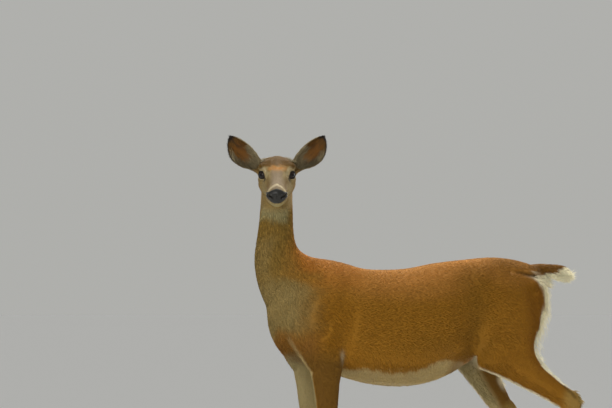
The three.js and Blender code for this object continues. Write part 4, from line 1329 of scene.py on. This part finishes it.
roots, ups, colours = rooted(on_tail, 0.0032)
drop = rise(ups[:, 2], 0.2, -0.6) * rise(roots[:, 0], 0.470, 0.540)
ways = unit((1.0, 0, -0.10) + ups * (0.10, 0.25, 0.12) - np.outer(drop, (0, 0, 0.22)))
ways = along_skin(ways, ups, 0.6)
top = rise(ups[:, 2], 0.05, 0.35)
long = np.clip(0.588 - roots[:, 0], 0.008, 0.040) * (1 - 0.45 * top)
hair_piece("tail_hair", "body_coat", roots, ups, ways, long, 0.0020, 0.10, colours, curl=0.4)


def on_fringe(points, normals):
    x, _, z = (points * 1000).T
    rump = white_behind(points, normals) * (outward(normals, points) < 0.80) * (x < 560)
    belly = (normals[:, 2] < -0.55) * (z > 470) * (z < 600) * (x > -330) * (x < 260)
    under = (normals[:, 2] < -0.2) * (z > 420) * (z < 640) * (x > 200) * (x < 520)
    return np.maximum.reduce([rump, belly, under]) * (shares_of(points)[3] < 0.5)


roots, ups, colours = rooted(on_fringe, 0.0052)
x, _, z = (roots * 1000).T
behind = rise(ups[:, 0], 0.2, 0.5) * rise(x, 330, 380)
ways = lie_of(roots, ups)
colours = painted(colours, [("white", behind)])
long = 0.017 + 0.012 * behind * rise(z, 480, 600)
stand = 0.18 + behind * (0.22 + 0.55 * bell(z, 645, 75))
hair_piece("fringe", "body_coat", roots, ups, ways, long, 0.0015, stand, colours, curl=0.1)


def on_hock(points, normals):
    x, y, z = (points * 1000).T
    left = (np.hypot(x - 556, z - 428) < 34) & (y < 30)
    right = (np.hypot(x - 402, z - 372) < 34) & (y > 100)
    heel = (np.hypot(x - 578, z - 440) < 20) & (y < 30)
    return ((left | right) & (outward(normals, points) < 0.35)) | heel


roots, ups, _ = rooted(on_hock, 0.0030)
tan = np.tile(COAT["hock"], (len(roots), 1)) * (1 + 0.15 * drift(roots, 0.02, 8))[:, None]
long = np.full(len(roots), 0.019)
hair_piece("hock_tufts", "body_coat", roots, ups, lie_of(roots, ups), long, 0.0015, 0.30, tan)


def in_ears(points, normals):
    inside = np.zeros(len(points), bool)
    for side in BOTH:
        along, low, out = at_ear(points, side)
        edge_low, edge_high = ear_edges(along)
        near = (along > 0.10) & (along < 0.72) & (np.abs(low) < 54) & (np.abs(out) < 36)
        upper = (low < -edge_high * 0.25) & (along < 0.54)
        lower = (low > edge_low * 0.68) & (along < 0.74)
        inside |= near & (normals @ ear_frame(side)[3] > -0.1) & (upper | lower | (along < 0.30))
    return inside


roots, ups, _ = rooted(in_ears, 0.0030)
count = len(roots)
ways, long, below = np.zeros_like(roots), np.zeros(count), np.zeros(count)
for side in BOTH:
    along, low, out = at_ear(roots, side)
    _, axis, down, face = ear_frame(side)
    mine = (along > 0) & (along < 1) & (np.abs(low) < 56) & (np.abs(out) < 40)
    turned = unit(axis - down * np.clip(low / 40, -1, 1)[:, None] * 0.75 + face * 0.25)
    ways[mine] = turned[mine]
    long[mine] = (0.024 - 0.010 * along[mine]) * draw.uniform(0.6, 1.2, mine.sum())
    below = np.maximum(below, rise(low, 4, 22) * rise(along, 0.56, 0.42) * mine)
ways = along_skin(ways, ups, 0.8)
shade = np.where(draw.random(count) < 0.35, 0.6, 1.0) * (1 - 0.55 * below)
colours = np.outer(shade, COAT["ear_hair"])
hair_piece("ear_hair", "face_coat", roots, ups, ways, long, 0.0009, 0.20, colours)


def on_lids(points, normals):
    far, off, ahead, above, within = at_eye(points)
    lid = (far < 34) & (off < 86) & (np.abs(ahead) < 11) & (above > 1.5)
    return lid & (within > -3.2) & (within < -1.2)


roots, ups, _ = rooted(on_lids, 0.0015)
mirror = np.ones_like(roots)
mirror[:, 1] = np.where(in_head(roots)[:, 1] < 0, -1.0, 1.0)
ways = unit((GAZE * 0.75 + LID_UP * 0.55) * mirror @ HEAD_AXES.T)
black = np.tile(COAT["dark"], (len(roots), 1))
hair_piece("lashes", "face_coat", roots, ups, ways, np.full(len(roots), 0.0068), 0.0004, 0.05, black)

# --------------------------------------------------------------------------------------------- eyes
# Large dark eyes with a clear bulge in front and a long level pupil, each wet and shining. Each is one ball,
# set in its socket behind the lids.
PUPIL = (6.6, 3.9)  # half its length and height, in millimetres
PUPIL_TILT = math.radians(-8)
for side, node in ((-1, "eye_right"), (1, "eye_left")):
    bpy.ops.mesh.primitive_uv_sphere_add(segments=96, ring_count=60, radius=EYE_RADIUS)
    eye = bpy.context.object
    eye.name = node.replace("eye_", "eyeball_")
    ball = unit(points_of(eye))
    off = np.degrees(np.arccos(np.clip(ball[:, 2], -1, 1)))
    radius = EYE_RADIUS + 1.3 * rise(off, 44, 0)
    flip = np.array([1, side, 1])
    axes = np.stack([LID_LINE * flip, LID_UP * flip, GAZE * flip], 1)
    local = (ball * radius[:, None]) @ axes.T + EYE * flip
    a, b = ball[:, 0] * EYE_RADIUS, ball[:, 1] * EYE_RADIUS
    along = a * math.cos(PUPIL_TILT) - b * math.sin(PUPIL_TILT)
    high = a * math.sin(PUPIL_TILT) + b * math.cos(PUPIL_TILT)
    pupil = rise((along / PUPIL[0]) ** 4 + (high / PUPIL[1]) ** 4, 1.3, 0.8)
    around = np.arctan2(b, a)
    rays = 1 + 0.25 * np.sin(around * 37) * np.sin(around * 23 + 1)
    colours = np.outer(rays, tone(28, 17, 10))
    colours = mixed(colours, tone(10, 8, 7), rise(off, 40, 46)[:, None])
    colours = mixed(colours, tone(4, 4, 5), (pupil * (ball[:, 2] > 0))[:, None])
    set_points(eye, from_head(local))
    colour_layer(eye, colours, "iris")
    edit_whole(eye, bpy.ops.mesh.normals_make_consistent, inside=False)
    bpy.ops.object.shade_smooth()
    finish, tree = new_finish(f"wet_{node}")
    feed(tree, Base_Color=add_node(tree, "ShaderNodeAttribute", {"attribute_name": "iris"}))
    feed(tree, Roughness=0.22, Specular_IOR_Level=0.06, Coat_Weight=0.30, Coat_Roughness=0.03)
    eye.data.materials.append(finish)
    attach(eye, "root")
    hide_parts(node)

# ------------------------------------------------------------------------------ hooves and dewclaws
# Each foot stands on two black toes of horn with a fine growth line every few millimetres, and carries two
# small dewclaws behind.
GROWTH_LINES = 0.0052  # metres from one line in the horn to the next
horn, tree = new_finish("horn")
rings = add_node(tree, "ShaderNodeTexNoise", Vector=place_on(tree, (60, 60, 620)), Scale=1.0, Detail=4.0)
blacks = [(0.3, (0.012, 0.010, 0.009)), (0.62, (0.040, 0.032, 0.026)), (0.8, (0.085, 0.066, 0.048))]
feed(tree, Base_Color=add_node(tree, "ShaderNodeValToRGB", {"stops": blacks}, i0=rings))
feed(tree, Roughness=ranged(tree, rings, 0.30, 0.48), Normal=bumped(tree, rings, 0.35, 0.0008))
for node in [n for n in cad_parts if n.startswith(("hoof_", "dewclaw_"))]:
    horny = copy_of(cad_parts[node], "horn_" + node)
    hoof = node.startswith("hoof_")
    horny.data.remesh_voxel_size = 0.0014 if hoof else 0.0010
    bpy.ops.object.voxel_remesh()
    relax(horny, 0.5, 5)
    points, normals = points_of(horny), normals_of(horny)
    if hoof:
        line = np.sin(points[:, 2] * 2 * math.pi / GROWTH_LINES + 1.5 * drift(points, 0.03, 21))
        points += normals * (0.00018 * line * rise(np.abs(normals[:, 2]), 0.8, 0.5))[:, None]
        points[:, 2] *= rise(points[:, 2], 0.0, 0.0022)
    set_points(horny, points)
    bpy.ops.object.shade_smooth()
    horny.data.materials.append(horn)
    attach(horny, "root")
    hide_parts(node)

# ---------------------------------------------------------------------------------- floor and light
# A plain pale floor that runs out to the horizon, under three broad soft lights: one high over her back, one
# from the front and a weaker one behind, with a pale sky all round.
bpy.ops.mesh.primitive_circle_add(vertices=96, radius=60, fill_type="NGON")
floor = bpy.context.object
floor.name = "floor"
finish, tree = new_finish("pale_floor")
feed(tree, Base_Color=(0.79, 0.79, 0.777, 1), Roughness=0.85)
floor.data.materials.append(finish)


def softbox(name, place, towards, size, power, colour=(1, 1, 1)):
    way = Vector(towards) - Vector(place)
    bpy.ops.object.light_add(type="AREA", location=place, rotation=way.to_track_quat("-Z", "Y").to_euler())
    lamp = bpy.context.object
    lamp.name = name
    lamp.data.shape = "RECTANGLE"
    lamp.data.size, lamp.data.size_y = size
    lamp.data.energy = power
    lamp.data.color = colour


softbox("light_over_the_back", (0.5, 1.3, 3.4), (0, 0.1, 0.7), (3.4, 1.8), 150, (1, 0.96, 0.88))
softbox("light_from_the_front", (-2.6, -3.2, 2.3), (-0.1, 0, 0.8), (2.4, 2.4), 75, (1, 0.98, 0.95))
softbox("light_behind", (3.2, 1.6, 1.8), (0.3, 0, 0.7), (1.6, 1.8), 50, (1, 0.97, 0.9))
sky = bpy.data.worlds.new("studio")
bpy.context.scene.world = sky
sky.use_nodes = True
tree = sky.node_tree
way = add_node(tree, "ShaderNodeTexCoord", output=0)
height = add_node(tree, "ShaderNodeSeparateXYZ", output=2, Vector=way)
shades = {"stops": [(0.0, (0.690, 0.691, 0.661)), (0.35, (0.86, 0.86, 0.84))]}
light = tree.nodes["Background"].inputs
put(tree, light["Color"], add_node(tree, "ShaderNodeValToRGB", shades, i0=height))
put(tree, light["Strength"], 0.62)
bpy.context.scene.view_settings.view_transform = "Standard"
